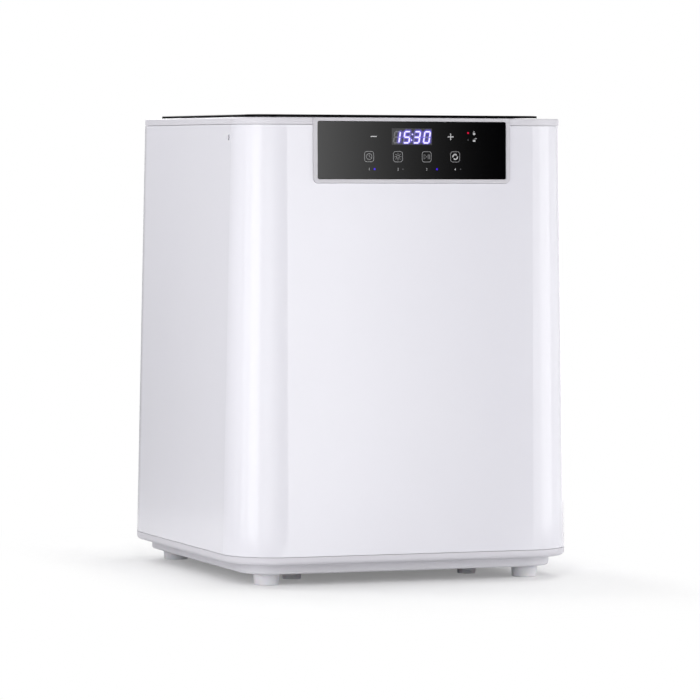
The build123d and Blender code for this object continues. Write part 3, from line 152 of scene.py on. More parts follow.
# %% [markdown]
# ## Grain
# No real surface is perfectly even. A moulding, a plating or a pane has broad
# soft patches where colour and gloss drift a little, and on top of them a
# fine grain left by the mould, the rolls or the polish. One function draws
# both from noise. The sizes are real ones in millimetres, and a very fine
# grain is drawn as coarse as it needs to be to show. `grained` makes a whole
# material that way, and `dress` puts a material on the ready-made pieces. A
# Mix node that is set to colours takes its two colours at inputs 6 and 7, and
# gives its result at output 2.


# %% Grain and dress
noise_range = {"From Min": 0.3, "From Max": 0.7}  # nearly all of a noise lies between these


def per_metre(size_mm):
    """Texture scale whose features are about size_mm across."""
    return 1.0 / (size_mm * MM)


def grained(name, colours, patch_mm, grain_mm, depth_mm, rough, detail=3.0, **sockets):
    """A material whose colour and gloss drift in soft patches, with a fine grain on top."""
    material, tree, surface = new_material(name, **sockets)
    place = add(tree, "ShaderNodeTexCoord")
    broad = {"Scale": per_metre(patch_mm), "Detail": 2.0}
    patches = add(tree, "ShaderNodeTexNoise", broad, {"Vector": (place, "Object")})
    pair = {"data_type": "RGBA", 6: linear(colours[0]), 7: linear(colours[1])}
    tint = add(tree, "ShaderNodeMix", pair, {0: (patches, 0)})
    ends = {**noise_range, "To Min": rough[0], "To Max": rough[1]}
    gloss = add(tree, "ShaderNodeMapRange", ends, {"Value": (patches, 0)})
    fine = {"Scale": per_metre(grain_mm), "Detail": detail}
    teeth = add(tree, "ShaderNodeTexNoise", fine, {"Vector": (place, "Object")})
    bump = add(tree, "ShaderNodeBump", {"Distance": depth_mm * MM}, {"Height": (teeth, 0)})
    tree.links.new(tint.outputs[2], surface.inputs["Base Color"])
    tree.links.new(gloss.outputs[0], surface.inputs["Roughness"])
    tree.links.new(bump.outputs[0], surface.inputs["Normal"])
    return material


def dress(material, *names):
    """Give CAD nodes a material in every slot."""
    for name in names:
        slots = nodes[name].data.materials
        slots.clear()
        slots.append(material)
    print(material.name, "on", ", ".join(names))


# %% [markdown]
# ## Gloss white ABS: the sleeve
# The sleeve is injection moulded ABS with a polished, lacquered skin. ABS has
# an IOR near 1.53. The skin is smooth enough to show studio lamps as crisp
# bands, but a real moulding is never a perfect mirror: it keeps an
# orange-peel ripple a few millimetres wide and well under a hundredth of a
# millimetre deep. The ripple is drawn as a bump, since it would take millions
# of faces as geometry.

# %% Gloss white ABS
gloss_white_abs = grained(
    "gloss_white_abs", ("E9E8F0", "EBEAF1"), IOR=1.53,
    patch_mm=120, grain_mm=9, depth_mm=0.0012, rough=(0.06, 0.08), detail=1.0,
)
dress(gloss_white_abs, "outer_shell")

# %% [markdown]
# ## Satin and spark-eroded ABS
# The trim lines and the panel frame are the same plastic in a pale grey,
# from a mould with a satin polish, so lamps blur on them. The base pan, the
# rear cover and the chamber floor come from a spark-eroded mould: its sparks
# leave pits about half a millimetre wide, which take the shine away and hide
# scratches. Such a texture could be painted as a picture, but noise in the
# object's own coordinates needs no unwrapping and fits any piece.

# %% Satin grey ABS
satin_mould = {"IOR": 1.53, "patch_mm": 60, "grain_mm": 1.2, "depth_mm": 0.0015, "rough": (0.38, 0.44)}
satin_grey_abs = grained("satin_grey_abs", ("D9D7DE", "DBD9E0"), **satin_mould)
dress(satin_grey_abs, "top_frame", "lower_trim_ring")
# The panel frame gets a darker copy of the same satin grey. This is painted shade, so that the frame renders
# no lighter than the trim lines.
painted_shade_grey_abs = grained("painted_shade_grey_abs", ("CECCD2", "D0CED4"), **satin_mould)
dress(painted_shade_grey_abs, "control_bezel")

# %% Spark-eroded ABS
eroded_grey_abs = grained(
    "eroded_grey_abs", ("DEDDE3", "E1E0E5"), IOR=1.53,
    patch_mm=45, grain_mm=0.5, depth_mm=0.02, rough=(0.50, 0.60),
)
dress(eroded_grey_abs, "base_pan")

eroded_white_abs = grained(
    "eroded_white_abs", ("E8E8EB", "ECECEF"), IOR=1.53,
    patch_mm=45, grain_mm=0.6, depth_mm=0.02, rough=(0.42, 0.52),
)
dress(eroded_white_abs, "rear_panel", "chamber_floor")

# %% [markdown]
# ## Silicone rubber: the feet
# Soft white silicone lets a little light into its surface, which a small
# subsurface weight gives. On feet this small that is enough, where a thick
# part would want true scattering. Moulded rubber is matt, with a very fine
# tooth that picks up dust.

# %% Silicone rubber
silicone_rubber = grained(
    "silicone_rubber", ("E4E3E8", "ECEBEF"), IOR=1.41, Subsurface_Weight=0.1, Subsurface_Scale=0.002,
    patch_mm=8, grain_mm=0.4, depth_mm=0.02, rough=(0.45, 0.6),
)
dress(silicone_rubber, "foot_front_left", "foot_front_right", "foot_rear_left", "foot_rear_right")
dress(silicone_rubber, "inner_feet")

# %% [markdown]
# ## Smoked acrylic and black glass
# The lid is tinted acrylic, so a little light still comes through it. Its cut
# edge is lacquered matt black, so no ultraviolet leaks out sideways. The
# lacquer could be a second material on the side faces, but the ready-made
# mesh stays as it is, so the shader finds the edge by its slope: faces that
# do not point up or down get the lacquer. The panel is glass painted black
# behind, and needs no transmission for that reason. Acrylic has an IOR of
# 1.49 and window glass one of 1.52.

# %% Smoked acrylic
smoked_acrylic = grained(
    "smoked_acrylic", ("0A0A0C", "0D0D0F"), IOR=1.49,
    patch_mm=90, grain_mm=30, depth_mm=0.0006, rough=(0.02, 0.03), detail=0.0,
)
dress(smoked_acrylic, "lid_panel")

# %% Lacquer on the lid's edge
tree = smoked_acrylic.node_tree
surface = tree.nodes["Principled BSDF"]
place = add(tree, "ShaderNodeTexCoord")
axes = add(tree, "ShaderNodeSeparateXYZ", links={0: (place, "Normal")})
upright = add(tree, "ShaderNodeMath", {"operation": "ABSOLUTE"}, {0: (axes, "Z")})
level_enough = 0.97
steep_enough = 0.90
turning_down = {"From Min": level_enough, "From Max": steep_enough}
on_edge = add(tree, "ShaderNodeMapRange", turning_down, {"Value": (upright, 0)})
polished_and_lacquered = {"Transmission Weight": (0.35, 0.0), "Specular IOR Level": (0.5, 0.05)}
for socket, (polished, lacquered) in polished_and_lacquered.items():
    ends = {"To Min": polished, "To Max": lacquered}
    choice = add(tree, "ShaderNodeMapRange", ends, {"Value": (on_edge, 0)})
    tree.links.new(choice.outputs[0], surface.inputs[socket])
print("lid edge: lacquer from", round(math.degrees(math.acos(level_enough))), "degrees off level")

# %% Black-backed glass
glass_polish = {"IOR": 1.52, "grain_mm": 40, "depth_mm": 0.0004, "rough": (0.015, 0.02), "detail": 0.0}
black_glass = grained("black_backed_glass", ("030304", "040405"), patch_mm=60, **glass_polish)
dress(black_glass, "control_glass")

# %% [markdown]
# ## Black plastics
# The fan, the inlet and the switch body are nylon filled with short glass
# fibres. The fibres come up to the surface in places, so it is a dull black
# that varies from spot to spot. The lid's rim, its sensor and the rocker are
# plain satin ABS. Black plastics differ in little but their shine, so the
# range of roughness matters more here than the colour.

# %% Glass-filled nylon
filled_nylon = grained(
    "filled_nylon", ("1A1A1C", "242427"), IOR=1.54,
    patch_mm=6, grain_mm=0.35, depth_mm=0.02, rough=(0.38, 0.58), detail=4.0,
)
dress(filled_nylon, "fan_frame", "fan_rotor", "fan_guard", "ac_inlet", "switch_housing")

# %% Satin black ABS
satin_black_abs = grained(
    "satin_black_abs", ("1C1C1E", "202022"), IOR=1.53,
    patch_mm=30, grain_mm=0.8, depth_mm=0.006, rough=(0.30, 0.42),
)
dress(satin_black_abs, "lid_frame", "lid_sensor", "switch_rocker")

# %% [markdown]
# ## Metals
# A metal's base colour is the colour of its reflection. What tells one finish
# from another is the grain: rolled and brushed sheet has hair lines one way,
# turned parts have rings, plating has a soft spangle and a sintered bush has
# pores. An anisotropic shader can show hair lines too, but it needs tangents
# from an unwrapped mesh. `lined_metal` stretches one noise along an axis
# instead, and the other metals use the same grain as the plastics.


# %% Metal helper
line_length = 60  # a hair line is this many times longer than it is wide


def lined_metal(name, colours, line_mm, along, rough, depth_mm):
    """A metal with fine lines that run along one axis."""
    metal, tree, surface = new_material(name, Metallic=1.0)
    place = add(tree, "ShaderNodeTexCoord")
    stretch = [per_metre(line_mm)] * 3
    stretch["xyz".index(along)] = per_metre(line_mm * line_length)
    by_axis = {"operation": "MULTIPLY", 1: stretch}
    squeezed = add(tree, "ShaderNodeVectorMath", by_axis, {0: (place, "Object")})
    lines = add(tree, "ShaderNodeTexNoise", {"Scale": 1.0, "Detail": 3.0}, {"Vector": (squeezed, 0)})
    pair = {"data_type": "RGBA", 6: linear(colours[0]), 7: linear(colours[1])}
    tint = add(tree, "ShaderNodeMix", pair, {0: (lines, 0)})
    ends = {"To Min": rough[0], "To Max": rough[1]}
    gloss = add(tree, "ShaderNodeMapRange", ends, {"Value": (lines, 0)})
    bump = add(tree, "ShaderNodeBump", {"Distance": depth_mm * MM}, {"Height": (lines, 0)})
    tree.links.new(tint.outputs[2], surface.inputs["Base Color"])
    tree.links.new(gloss.outputs[0], surface.inputs["Roughness"])
    tree.links.new(bump.outputs[0], surface.inputs["Normal"])
    return metal


# %% Polished and brushed steel
mirror_steel = lined_metal(
    "mirror_polished_steel", ("D6D8DA", "DEDFE1"),
    line_mm=0.8, along="z", rough=(0.03, 0.06), depth_mm=0.0002,
)
dress(mirror_steel, "liner_left", "liner_right", "liner_front", "liner_rear")

brushed_steel = lined_metal(
    "brushed_stainless_steel", ("B4B5B8", "C8C9CB"),
    line_mm=0.35, along="x", rough=(0.24, 0.36), depth_mm=0.004,
)
dress(brushed_steel, "hinge_base_leaves", "hinge_lid_leaves")

# %% Plated and blackened steel
zinc_plate = grained(
    "zinc_plated_steel", ("B9BCC0", "CDCDC8"), Metallic=1.0,
    patch_mm=5, grain_mm=0.5, depth_mm=0.004, rough=(0.22, 0.38),
)
dress(zinc_plate, "base_screws", "hinge_pins", "hinge_base_screws", "hinge_lid_screws", "lid_strike")
dress(zinc_plate, "lock_bolt", "deck_pillars", "motor_bracket", "drive_shaft")

plated_can = lined_metal(
    "nickel_plated_can", ("A9A9AA", "BBBBBA"),
    line_mm=0.4, along="z", rough=(0.22, 0.34), depth_mm=0.003,
)
dress(plated_can, "gear_motor", "lock_solenoid")

nickel = grained(
    "bright_nickel", ("CFCBC2", "D8D4CB"), Metallic=1.0,
    patch_mm=9, grain_mm=1.0, depth_mm=0.001, rough=(0.08, 0.14),
)
dress(nickel, "lid_magnet", "inlet_pins")

black_oxide = grained(
    "black_oxide_steel", ("2C2C2F", "3C3B3C"), Metallic=1.0,
    patch_mm=3, grain_mm=0.25, depth_mm=0.004, rough=(0.32, 0.48),
)
dress(black_oxide, "case_screws", "fan_screws")

# %% Aluminium, brass and bronze
anodised = lined_metal(
    "anodised_aluminium", ("C6C8CA", "D4D5D6"),
    line_mm=0.5, along="z", rough=(0.28, 0.40), depth_mm=0.003,
)
dress(anodised, "corner_posts", "turntable_hub")

folded_aluminium = lined_metal(
    "folded_aluminium_sheet", ("B7B9BC", "C6C7C9"),
    line_mm=0.6, along="x", rough=(0.34, 0.46), depth_mm=0.004,
)
dress(folded_aluminium, "power_supply")

turned_brass = lined_metal(
    "turned_brass", ("C9A24E", "DBB868"),
    line_mm=0.15, along="x", rough=(0.18, 0.30), depth_mm=0.003,
)
dress(turned_brass, "standoffs", "touch_springs")

sintered_bronze = grained(
    "oil_filled_bronze", ("8E6436", "A87B48"), Metallic=1.0,
    patch_mm=2, grain_mm=0.3, depth_mm=0.03, rough=(0.40, 0.60), detail=5.0,
)
dress(sintered_bronze, "turntable_bushing")

# %% [markdown]
# ## Clear acrylic
# The turntable, the LED covers and the windows in the floor are clear cast
# acrylic. Plain transparency would be quicker, but only transmission bends
# what lies behind, and that is how the eye knows a thick clear sheet. Scratches
# from wiping show only as a faint change in roughness.

# %% Clear acrylic
clear_acrylic = grained(
    "clear_acrylic", ("F4F8FA", "FAFCFD"), IOR=1.49, Transmission_Weight=1.0,
    patch_mm=80, grain_mm=4, depth_mm=0.0006, rough=(0.01, 0.05), detail=2.0,
)
dress(clear_acrylic, "led_covers", "base_windows", "turntable_plate")

# %% [markdown]
# ## Circuit boards
# A board is glass cloth in epoxy under solder mask: green for the
# electronics, white for the LED boards, which have to throw light back. Copper
# tracks show through the mask as slightly lighter lines. Real tracks could be
# drawn one by one, but the boards are deep inside, and the borders of a cell
# pattern pass for them. The parts on the green boards are moulded black
# epoxy, so everything that stands above the board's own thickness turns
# black. The LEDs are set in clear silicone gel, the display has a face of
# smoked epoxy, and the flat cable is white vinyl with its wires side by side.


# %% Board helper
track_spacing = 5
track_share = 0.07  # a track takes this much of its cell along each side of the border
weave_pitch = 0.8
weave_depth = 0.01


def solder_mask(name, mask, track, epoxy, board_top, upwards):
    """A circuit board whose parts above board_top are black epoxy."""
    board, tree, surface = new_material(name, IOR=1.5, Roughness=0.34)
    place = add(tree, "ShaderNodeTexCoord")
    cells = {"feature": "DISTANCE_TO_EDGE", "Scale": per_metre(track_spacing), "Randomness": 0.45}
    tracks = add(tree, "ShaderNodeTexVoronoi", cells, {"Vector": (place, "Object")})
    edge = add(tree, "ShaderNodeMath", {"operation": "LESS_THAN", 1: track_share}, {0: (tracks, 0)})
    pair = {"data_type": "RGBA", 6: linear(mask), 7: linear(track)}
    copper = add(tree, "ShaderNodeMix", pair, {0: (edge, 0)})
    upwards_only = {"operation": "DOT_PRODUCT", 1: upwards}
    height = add(tree, "ShaderNodeVectorMath", upwards_only, {0: (place, "Object")})
    above = add(tree, "ShaderNodeMath", {"operation": "GREATER_THAN", 1: board_top}, {0: (height, "Value")})
    covered = {"data_type": "RGBA", 7: linear(epoxy)}
    parts = add(tree, "ShaderNodeMix", covered, {0: (above, 0), 6: (copper, 2)})
    cloth = {"Scale": per_metre(weave_pitch)}
    weave = add(tree, "ShaderNodeTexNoise", cloth, {"Vector": (place, "Object")})
    bump = add(tree, "ShaderNodeBump", {"Distance": weave_depth * MM}, {"Height": (weave, 0)})
    tree.links.new(parts.outputs[2], surface.inputs["Base Color"])
    tree.links.new(bump.outputs[0], surface.inputs["Normal"])
    return board


# %% Green boards
mask_green = "1F6B3E"
track_green = "2F8250"
epoxy_black = "19191B"
board_thickness = 1.6 * MM
main_board_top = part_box("main_board")[0][2] + board_thickness
main_mask = solder_mask(
    "green_solder_mask", mask_green, track_green, epoxy_black, main_board_top, (0, 0, 1)
)
dress(main_mask, "main_board")
# this board leans back with the glass, so room is left before its parts begin
panel_board_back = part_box("control_board")[0][1] + 4 * board_thickness
panel_mask = solder_mask(
    "panel_solder_mask", mask_green, track_green, epoxy_black, panel_board_back, (0, 1, 0)
)
dress(panel_mask, "control_board")

# %% White boards and their LEDs
above_all = 9.0  # metres up, so nothing on these boards is epoxy
white_mask = solder_mask("white_solder_mask", "EDEDE8", "E2E1DA", "EDEDE8", above_all, (0, 0, 1))
dress(white_mask, "led_boards", "base_led_boards")

led_silicone = grained(
    "led_silicone", ("D9D0A4", "E6DFBD"), IOR=1.45, Subsurface_Weight=0.3, Subsurface_Scale=0.001,
    patch_mm=2, grain_mm=0.5, depth_mm=0.01, rough=(0.08, 0.2),
)
dress(led_silicone, "uv_leds", "indicator_leds")

smoked_display = grained(
    "smoked_display_epoxy", ("2A2A2D", "303034"), IOR=1.5,
    patch_mm=10, grain_mm=1.0, depth_mm=0.004, rough=(0.25, 0.4),
)
dress(smoked_display, "display_module")

# %% Flat cable
wire_pitch = 1.27
wire_depth = 0.3
wave_unit = 20  # the node draws each band 2 pi pitches wide, which is coarse enough to show
flat_cable, tree, surface = new_material("flat_cable_vinyl", IOR=1.5, Roughness=0.42)
place = add(tree, "ShaderNodeTexCoord")
waves = {"wave_type": "BANDS", "bands_direction": "X", "Scale": per_metre(wire_pitch) / wave_unit}
wires = add(tree, "ShaderNodeTexWave", waves, {"Vector": (place, "Object")})
pair = {"data_type": "RGBA", 6: linear("C6C6C3"), 7: linear("DEDEDA")}
tint = add(tree, "ShaderNodeMix", pair, {0: (wires, 1)})
bump = add(tree, "ShaderNodeBump", {"Distance": wire_depth * MM}, {"Height": (wires, 1)})
tree.links.new(tint.outputs[2], surface.inputs["Base Color"])
tree.links.new(bump.outputs[0], surface.inputs["Normal"])
dress(flat_cable, "control_ribbon")

print("finishes:", sorted({m.name for node in nodes.values() for m in node.data.materials}))

# %% [markdown]
# ## A drawing board on the glass
# Keys, signs and digits all lie on the glass, which leans back a little. In
# world coordinates that would be clumsy, so we set up a drawing board:
# millimetres across from the middle of the glass, and millimetres up its
# slope. The slope comes from the glass itself, from the normal of its
# largest face.

# %% Drawing board
def drawing_board(origin, rightwards, upwards, outwards):
    """A function that turns millimetres across, up and out into a point in the world."""

    def place(across, up, lift=0.0):
        return origin + (rightwards * across + upwards * up + outwards * lift) * MM

    return place


glass = nodes["control_glass"].data
face = max(glass.polygons, key=lambda polygon: -polygon.normal.y * polygon.area)
facing = face.normal.normalized()
rightwards = Vector((1, 0, 0))
on_face = glass.vertices[face.vertices[0]].co
glass_low, glass_high = (Vector(corner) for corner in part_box("control_glass"))
middle = (glass_low + glass_high) / 2
middle.y = on_face.y - (middle.z - on_face.z) * facing.z / facing.y
on_glass = drawing_board(middle, rightwards, facing.cross(rightwards), facing)
print("glass leans", round(math.degrees(math.asin(facing.z)), 2), "degrees")


# %% Points to draw with
def at_angle(centre, radius, angle):
    """The point at this angle, in degrees anticlockwise from the right."""
    turned = math.radians(angle)
    return (centre[0] + radius * math.cos(turned), centre[1] + radius * math.sin(turned))


def arc(centre, radius, start, end, steps=12):
    """Points along an arc from one angle to another."""
    return [at_angle(centre, radius, start + (end - start) * i / steps) for i in range(steps + 1)]


def circle(centre, radius, steps=24):
    """Points round a full circle."""
    return arc(centre, radius, 0, 360 - 360 / steps, steps - 1)


def around(centre, *points):
    """These points, measured from a centre."""
    return [(centre[0] + across, centre[1] + up) for across, up in points]


def rounded_box(centre, width, height, corner):
    """A rectangle with round corners."""
    points = []
    for start, side, top_side in ((0, 1, 1), (90, -1, 1), (180, -1, -1), (270, 1, -1)):
        pivot = around(centre, (side * (width / 2 - corner), top_side * (height / 2 - corner)))[0]
        points += arc(pivot, corner, start, start + 90, 6)
    return points


def ribbon(points, width, closed=False):
    """Four-cornered pieces that follow a line, as a pen of that width draws it."""
    line = [Vector(point) for point in points]
    sides = []
    for i, here in enumerate(line):
        before = line[i - 1] if i or closed else here
        after = line[(i + 1) % len(line)] if closed or i + 1 < len(line) else here
        along = (after - before).normalized()
        aside = Vector((-along.y, along.x)) * width / 2
        sides.append((here + aside, here - aside))
    following = sides[1:] + sides[:1] if closed else sides[1:]
    return [(a, b, d, c) for (a, b), (c, d) in zip(sides, following)]


# %% Pieces to lay on a board
def finish_piece(name, mesh, material, body="cabinet"):
    """Make a piece of this mesh that moves with a body of the cabinet."""
    mesh.materials.append(material)
    piece = bpy.data.objects.new(name, mesh)
    bpy.context.scene.collection.objects.link(piece)
    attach(piece, body)


def lay_flat(name, shapes, lift, material, board=on_glass, body="cabinet"):
    """One flat piece made of all these shapes, a hair above a drawing board."""
    corners, faces = [], []
    for shape in shapes:
        faces.append(range(len(corners), len(corners) + len(shape)))
        corners += [board(across, up, lift) for across, up in shape]
    mesh = bpy.data.meshes.new(name)
    mesh.from_pydata(corners, [], faces)
    finish_piece(name, mesh, material, body)
    print(name, "has", len(faces), "faces and rides on the", body)


# %% [markdown]
# ## Printed signs
# Four touch keys stand in a row: timer, light, start and pause, and turn.
# They are screen printed in grey on the back of the glass, so the front of
# the glass still shines over them. That is why the ink below has the gloss
# and the IOR of glass. Each sign is a few pen strokes: simple enough to draw
# one by one, and as sharp as print at any distance. Every size here is in
# millimetres on the glass.

# %% Inks and key frames
print_lift = 0.02
thin_ink = grained("grey_screen_ink", ("8A8A8C", "929294"), patch_mm=12, **glass_polish)
bold_ink = grained("white_screen_ink", ("BEBEC0", "C6C6C8"), patch_mm=12, **glass_polish)
pen = 0.6
key_width = 10.6
key_height = 11.3
key_corner = 2.6
key_pitch = 33.6
key_up = -6.85
key_places = [((i - 1.5) * key_pitch, key_up) for i in range(4)]
timer, sun, start, turn_sign = key_places
strokes = []
for key in key_places:
    strokes += ribbon(rounded_box(key, key_width, key_height, key_corner), pen, closed=True)
print("keys stand at", [round(across, 1) for across, _ in key_places], "mm from the middle")

# %% Clock and sun
clock_radius = 3.2
long_hand = (0, 2.0)
short_hand = (1.5, -0.7)
strokes += ribbon(circle(timer, clock_radius, 32), pen, closed=True)
strokes += ribbon(around(timer, long_hand, (0, 0), short_hand), pen)

sun_radius = 1.6
ray_start = 2.6
ray_end = 4.0
strokes += ribbon(circle(sun, sun_radius), pen, closed=True)
for angle in range(0, 360, 45):
    strokes += ribbon([at_angle(sun, ray_start, angle), at_angle(sun, ray_end, angle)], pen)
print("frames, clock and sun take", len(strokes), "faces")

# %% Start and pause
play_left = -3.2
play_tip = 0.4
play_half = 2.6
triangle = around(start, (play_left, -play_half), (play_tip, 0), (play_left, play_half))
strokes += ribbon(triangle, pen, closed=True)
for pause_bar in (1.8, 3.4):
    strokes += ribbon(around(start, (pause_bar, -play_half), (pause_bar, play_half)), pen)
lay_flat("key_signs", strokes, print_lift, thin_ink)

# %% Turning arrows
arrow_radius = 2.7
arrow_pen = 1.4
head_half = 1.3
head_tip, head_back = 38, 74  # degrees
shaft_start, shaft_end = 72, 190
strokes = []
for half_turn in (0, 180):
    shaft = arc(turn_sign, arrow_radius, half_turn + shaft_start, half_turn + shaft_end)
    strokes += ribbon(shaft, arrow_pen)
    tip = at_angle(turn_sign, arrow_radius, half_turn + head_tip)
    outer = at_angle(turn_sign, arrow_radius + head_half, half_turn + head_back)
    inner = at_angle(turn_sign, arrow_radius - head_half, half_turn + head_back)
    strokes.append((tip, outer, inner))
lay_flat("turn_sign", strokes, print_lift, bold_ink)

# %% Minus and plus
sign_across = 45.1
sign_up = 15.1
sign_half = 3.5
sign_pen = 1.15
level = ((-sign_half, 0), (sign_half, 0))
plumb = ((0, -sign_half), (0, sign_half))
strokes = ribbon(around((-sign_across, sign_up), *level), sign_pen)
strokes += ribbon(around((sign_across, sign_up), *level), sign_pen)
strokes += ribbon(around((sign_across, sign_up), *plumb), sign_pen)
print("minus and plus are", 2 * sign_half, "mm wide")

# %% Closed and open lock
lock_across = 72.8
closed_lock_up = 18.35
open_lock_up = 10.9
lock_width = 2.8
lock_height = 2.2
lock_corner = 0.4
shackle_radius = 0.95
shackle_pen = 0.5
shackle_rise = 1.6
swung_open = (1.9, 0.2)
leg_foot = 0.9  # the long leg ends this far above the middle, inside the lock
for lock_up, swung in ((closed_lock_up, (0, 0)), (open_lock_up, swung_open)):
    strokes.append(rounded_box((lock_across, lock_up), lock_width, lock_height, lock_corner))
    shackle_centre = around((lock_across, lock_up + shackle_rise), swung)[0]
    shackle = arc(shackle_centre, shackle_radius, 0, 180, 10)
    leg_end = (shackle[-1][0], lock_up + leg_foot)
    strokes += ribbon(shackle, shackle_pen)
    strokes += ribbon([shackle[-1], leg_end], shackle_pen)
lay_flat("hand_signs", strokes, print_lift, bold_ink)

# %% [markdown]
# ## Numbers beside the key lights
# Each key has a small light under it, and plain numbers from 1 to 4 tell the
# lights apart. Blender's own font gives the numbers as curves, and a mesh
# made from the curves can be laid on the glass like the other signs.

# %% Key numbers
light_up = -20.4
number_height = 2.7
digit_share = 0.7  # a digit of the font is this much of its size
number_foot = light_up - number_height / 2
for i, (key_across, _) in enumerate(key_places):
    letters = bpy.data.curves.new("number", "FONT")
    letters.body = str(i + 1)
    letters.align_x = "CENTER"
    letters.size = number_height / digit_share
    written = bpy.data.objects.new("number", letters)
    flat = bpy.data.meshes.new_from_object(written)
    bpy.data.objects.remove(written)
    drawn = [[flat.vertices[v].co for v in polygon.vertices] for polygon in flat.polygons]
    shapes = [around((key_across, number_foot), *(co.xy for co in shape)) for shape in drawn]
    lay_flat(f"key_number_{i + 1}", shapes, print_lift, bold_ink)

# %% [markdown]
# ## Signs on the power rocker
# The switch at the rear carries the two signs that every power switch has: a
# bar for on and a ring for off. They are printed on the rocker's two wings,
# and they ride on the rocker, so that they tip with it. Each wing is found by
# its slope: the upper one faces a little down, and the lower one a little up.
# Each gets a drawing board of its own. From behind, right is -X.

# %% Rocker signs
pad_print = grained(
    "white_pad_print", ("DCDCDC", "E6E6E6"), IOR=1.5,
    patch_mm=3, grain_mm=0.4, depth_mm=0.004, rough=(0.45, 0.6),
)
rocker = nodes["switch_rocker"].data
rocker_middle = sum(corner.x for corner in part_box("switch_rocker")) / 2
rocker_pen = 0.8
bar_half = 2.0
ring_radius = 1.7
bar_for_on = ribbon([(0, -bar_half), (0, bar_half)], rocker_pen)
ring_for_off = ribbon(circle((0, 0), ring_radius, 32), rocker_pen, closed=True)
right_from_behind = Vector((-1, 0, 0))
for name, slope, strokes in (("on_sign", -1, bar_for_on), ("off_sign", 1, ring_for_off)):
    rearward = [face for face in rocker.polygons if face.normal.y > 0.9 and face.normal.z * slope > 0]
    wing = max(rearward, key=lambda face: face.area)
    ends = [rocker.vertices[v].co for v in wing.vertices]
    lowest = min(ends, key=lambda end: end.z)
    highest = max(ends, key=lambda end: end.z)
    centre = (lowest + highest) / 2
    centre.x = rocker_middle
    out = wing.normal.copy()
    on_wing = drawing_board(centre, right_from_behind, out.cross(right_from_behind), out)
    lay_flat(name, strokes, print_lift, pad_print, on_wing, "rocker")
    print(name, "lies at", [round(c / MM, 1) for c in centre], "mm")

# %% [markdown]
# ## The display
# A seven-segment display is a smoked window with bars of light behind it. The
# bars lean about nine degrees. Unlit bars stay faintly visible. A lit bar is
# so bright that it renders white, and what shows its violet-blue colour is
# the haze around it, where the smoked face scatters the light. We make that
# haze from a skirt of faces round each bar. A number stored on the vertices,
# called glow, is 1 at the bar and 0 at the hem, and the material adds light
# by it. Cycles blends it over what is behind because the rest of the material
# is transparent.

# %% Display window
window_across = -0.4
window_up = 15.1
window_width = 47.0
window_height = 17.9
window_corner = 0.4
window_lift = 0.01
smoked_window = grained("smoked_display_window", ("3C3C3E", "444447"), patch_mm=2.5, **glass_polish)
pane = rounded_box((window_across, window_up), window_width, window_height, window_corner)
lay_flat("display_window", [pane], window_lift, smoked_window)

# %% Bars of a digit
digit_pitch = 11.7
digit_half_width = 3.2
digit_half_height = 6.1
digit_drop = 0.7
bar_width = 1.6
bar_gap = 0.22
lean = math.tan(math.radians(9))
corner_growth = 0.4  # about tan 22.5: a bar's blunt corners move this far when it grows by 1
bar_ends = {
    "a": ((-1, 1), (1, 1)),
    "b": ((1, 1), (1, 0)),
    "c": ((1, 0), (1, -1)),
    "d": ((-1, -1), (1, -1)),
    "e": ((-1, 0), (-1, -1)),
    "f": ((-1, 1), (-1, 0)),
    "g": ((-1, 0), (1, 0)),
}
lit_bars = {"0": "abcdef", "1": "bc", "3": "abcdg", "5": "acdfg"}


def slanted(centre_across, x, y):
    """A digit's own point, leaned and moved to its place in the window."""
    return Vector((centre_across + x + y * lean, window_up - digit_drop + y))


def bar_outline(centre_across, ends, spread=0.0):
    """Six corners of one bar, grown by spread all round."""
    start, end = (Vector((x * digit_half_width, y * digit_half_height)) for x, y in ends)
    along = (end - start).normalized()
    aside = Vector((-along.y, along.x)) * (bar_width / 2 + spread)
    tip = along * (bar_gap - spread)
    shoulder = along * (bar_gap + bar_width / 2 - spread * corner_growth)
    corners = [start + tip, start + shoulder - aside, end - shoulder - aside]
    corners += [end - tip, end - shoulder + aside, start + shoulder + aside]
    return [slanted(centre_across, *corner) for corner in corners]


print("digits are", 2 * digit_half_height + bar_width, "mm tall")


# %% Haze
def within_window(point):
    """The nearest point that is still inside the display window."""
    across = min(max(point[0], window_across - window_width / 2), window_across + window_width / 2)
    up = min(max(point[1], window_up - window_height / 2), window_up + window_height / 2)
    return (across, up)


def lay_haze(name, core, hem, lift, material):
    """A shape at full glow with a skirt that fades to its hem."""
    hem = [within_window(point) for point in hem]
    count = len(core)
    skirt = [(i, count + i, count + (i + 1) % count, (i + 1) % count) for i in range(count)]
    mesh = bpy.data.meshes.new(name)
    mesh.from_pydata([on_glass(*point, lift) for point in core + hem], [], [range(count)] + skirt)
    glow = mesh.attributes.new("glow", "FLOAT", "POINT")
    glow.data.foreach_set("value", [1.0] * count + [0.0] * count)
    finish_piece(name, mesh, material)


def light_haze(name, colour, strength):
    """Adds light that fades with the glow number and hides nothing behind it."""
    haze, tree = bare_material(name)
    number = add(tree, "ShaderNodeAttribute", {"attribute_name": "glow"})
    soft = add(tree, "ShaderNodeMath", {"operation": "POWER", 1: 1.5}, {0: (number, "Fac")})
    power = add(tree, "ShaderNodeMath", {"operation": "MULTIPLY", 1: strength}, {0: (soft, 0)})
    light = add(tree, "ShaderNodeEmission", {"Color": linear(colour)}, {"Strength": (power, 0)})
    clear = add(tree, "ShaderNodeBsdfTransparent")
    both = add(tree, "ShaderNodeAddShader", links={0: (clear, 0), 1: (light, 0)})
    add(tree, "ShaderNodeOutputMaterial", links={"Surface": (both, 0)})
    return haze


# %% Lit faces
mottle_size = 1.5
dimmest = 0.93


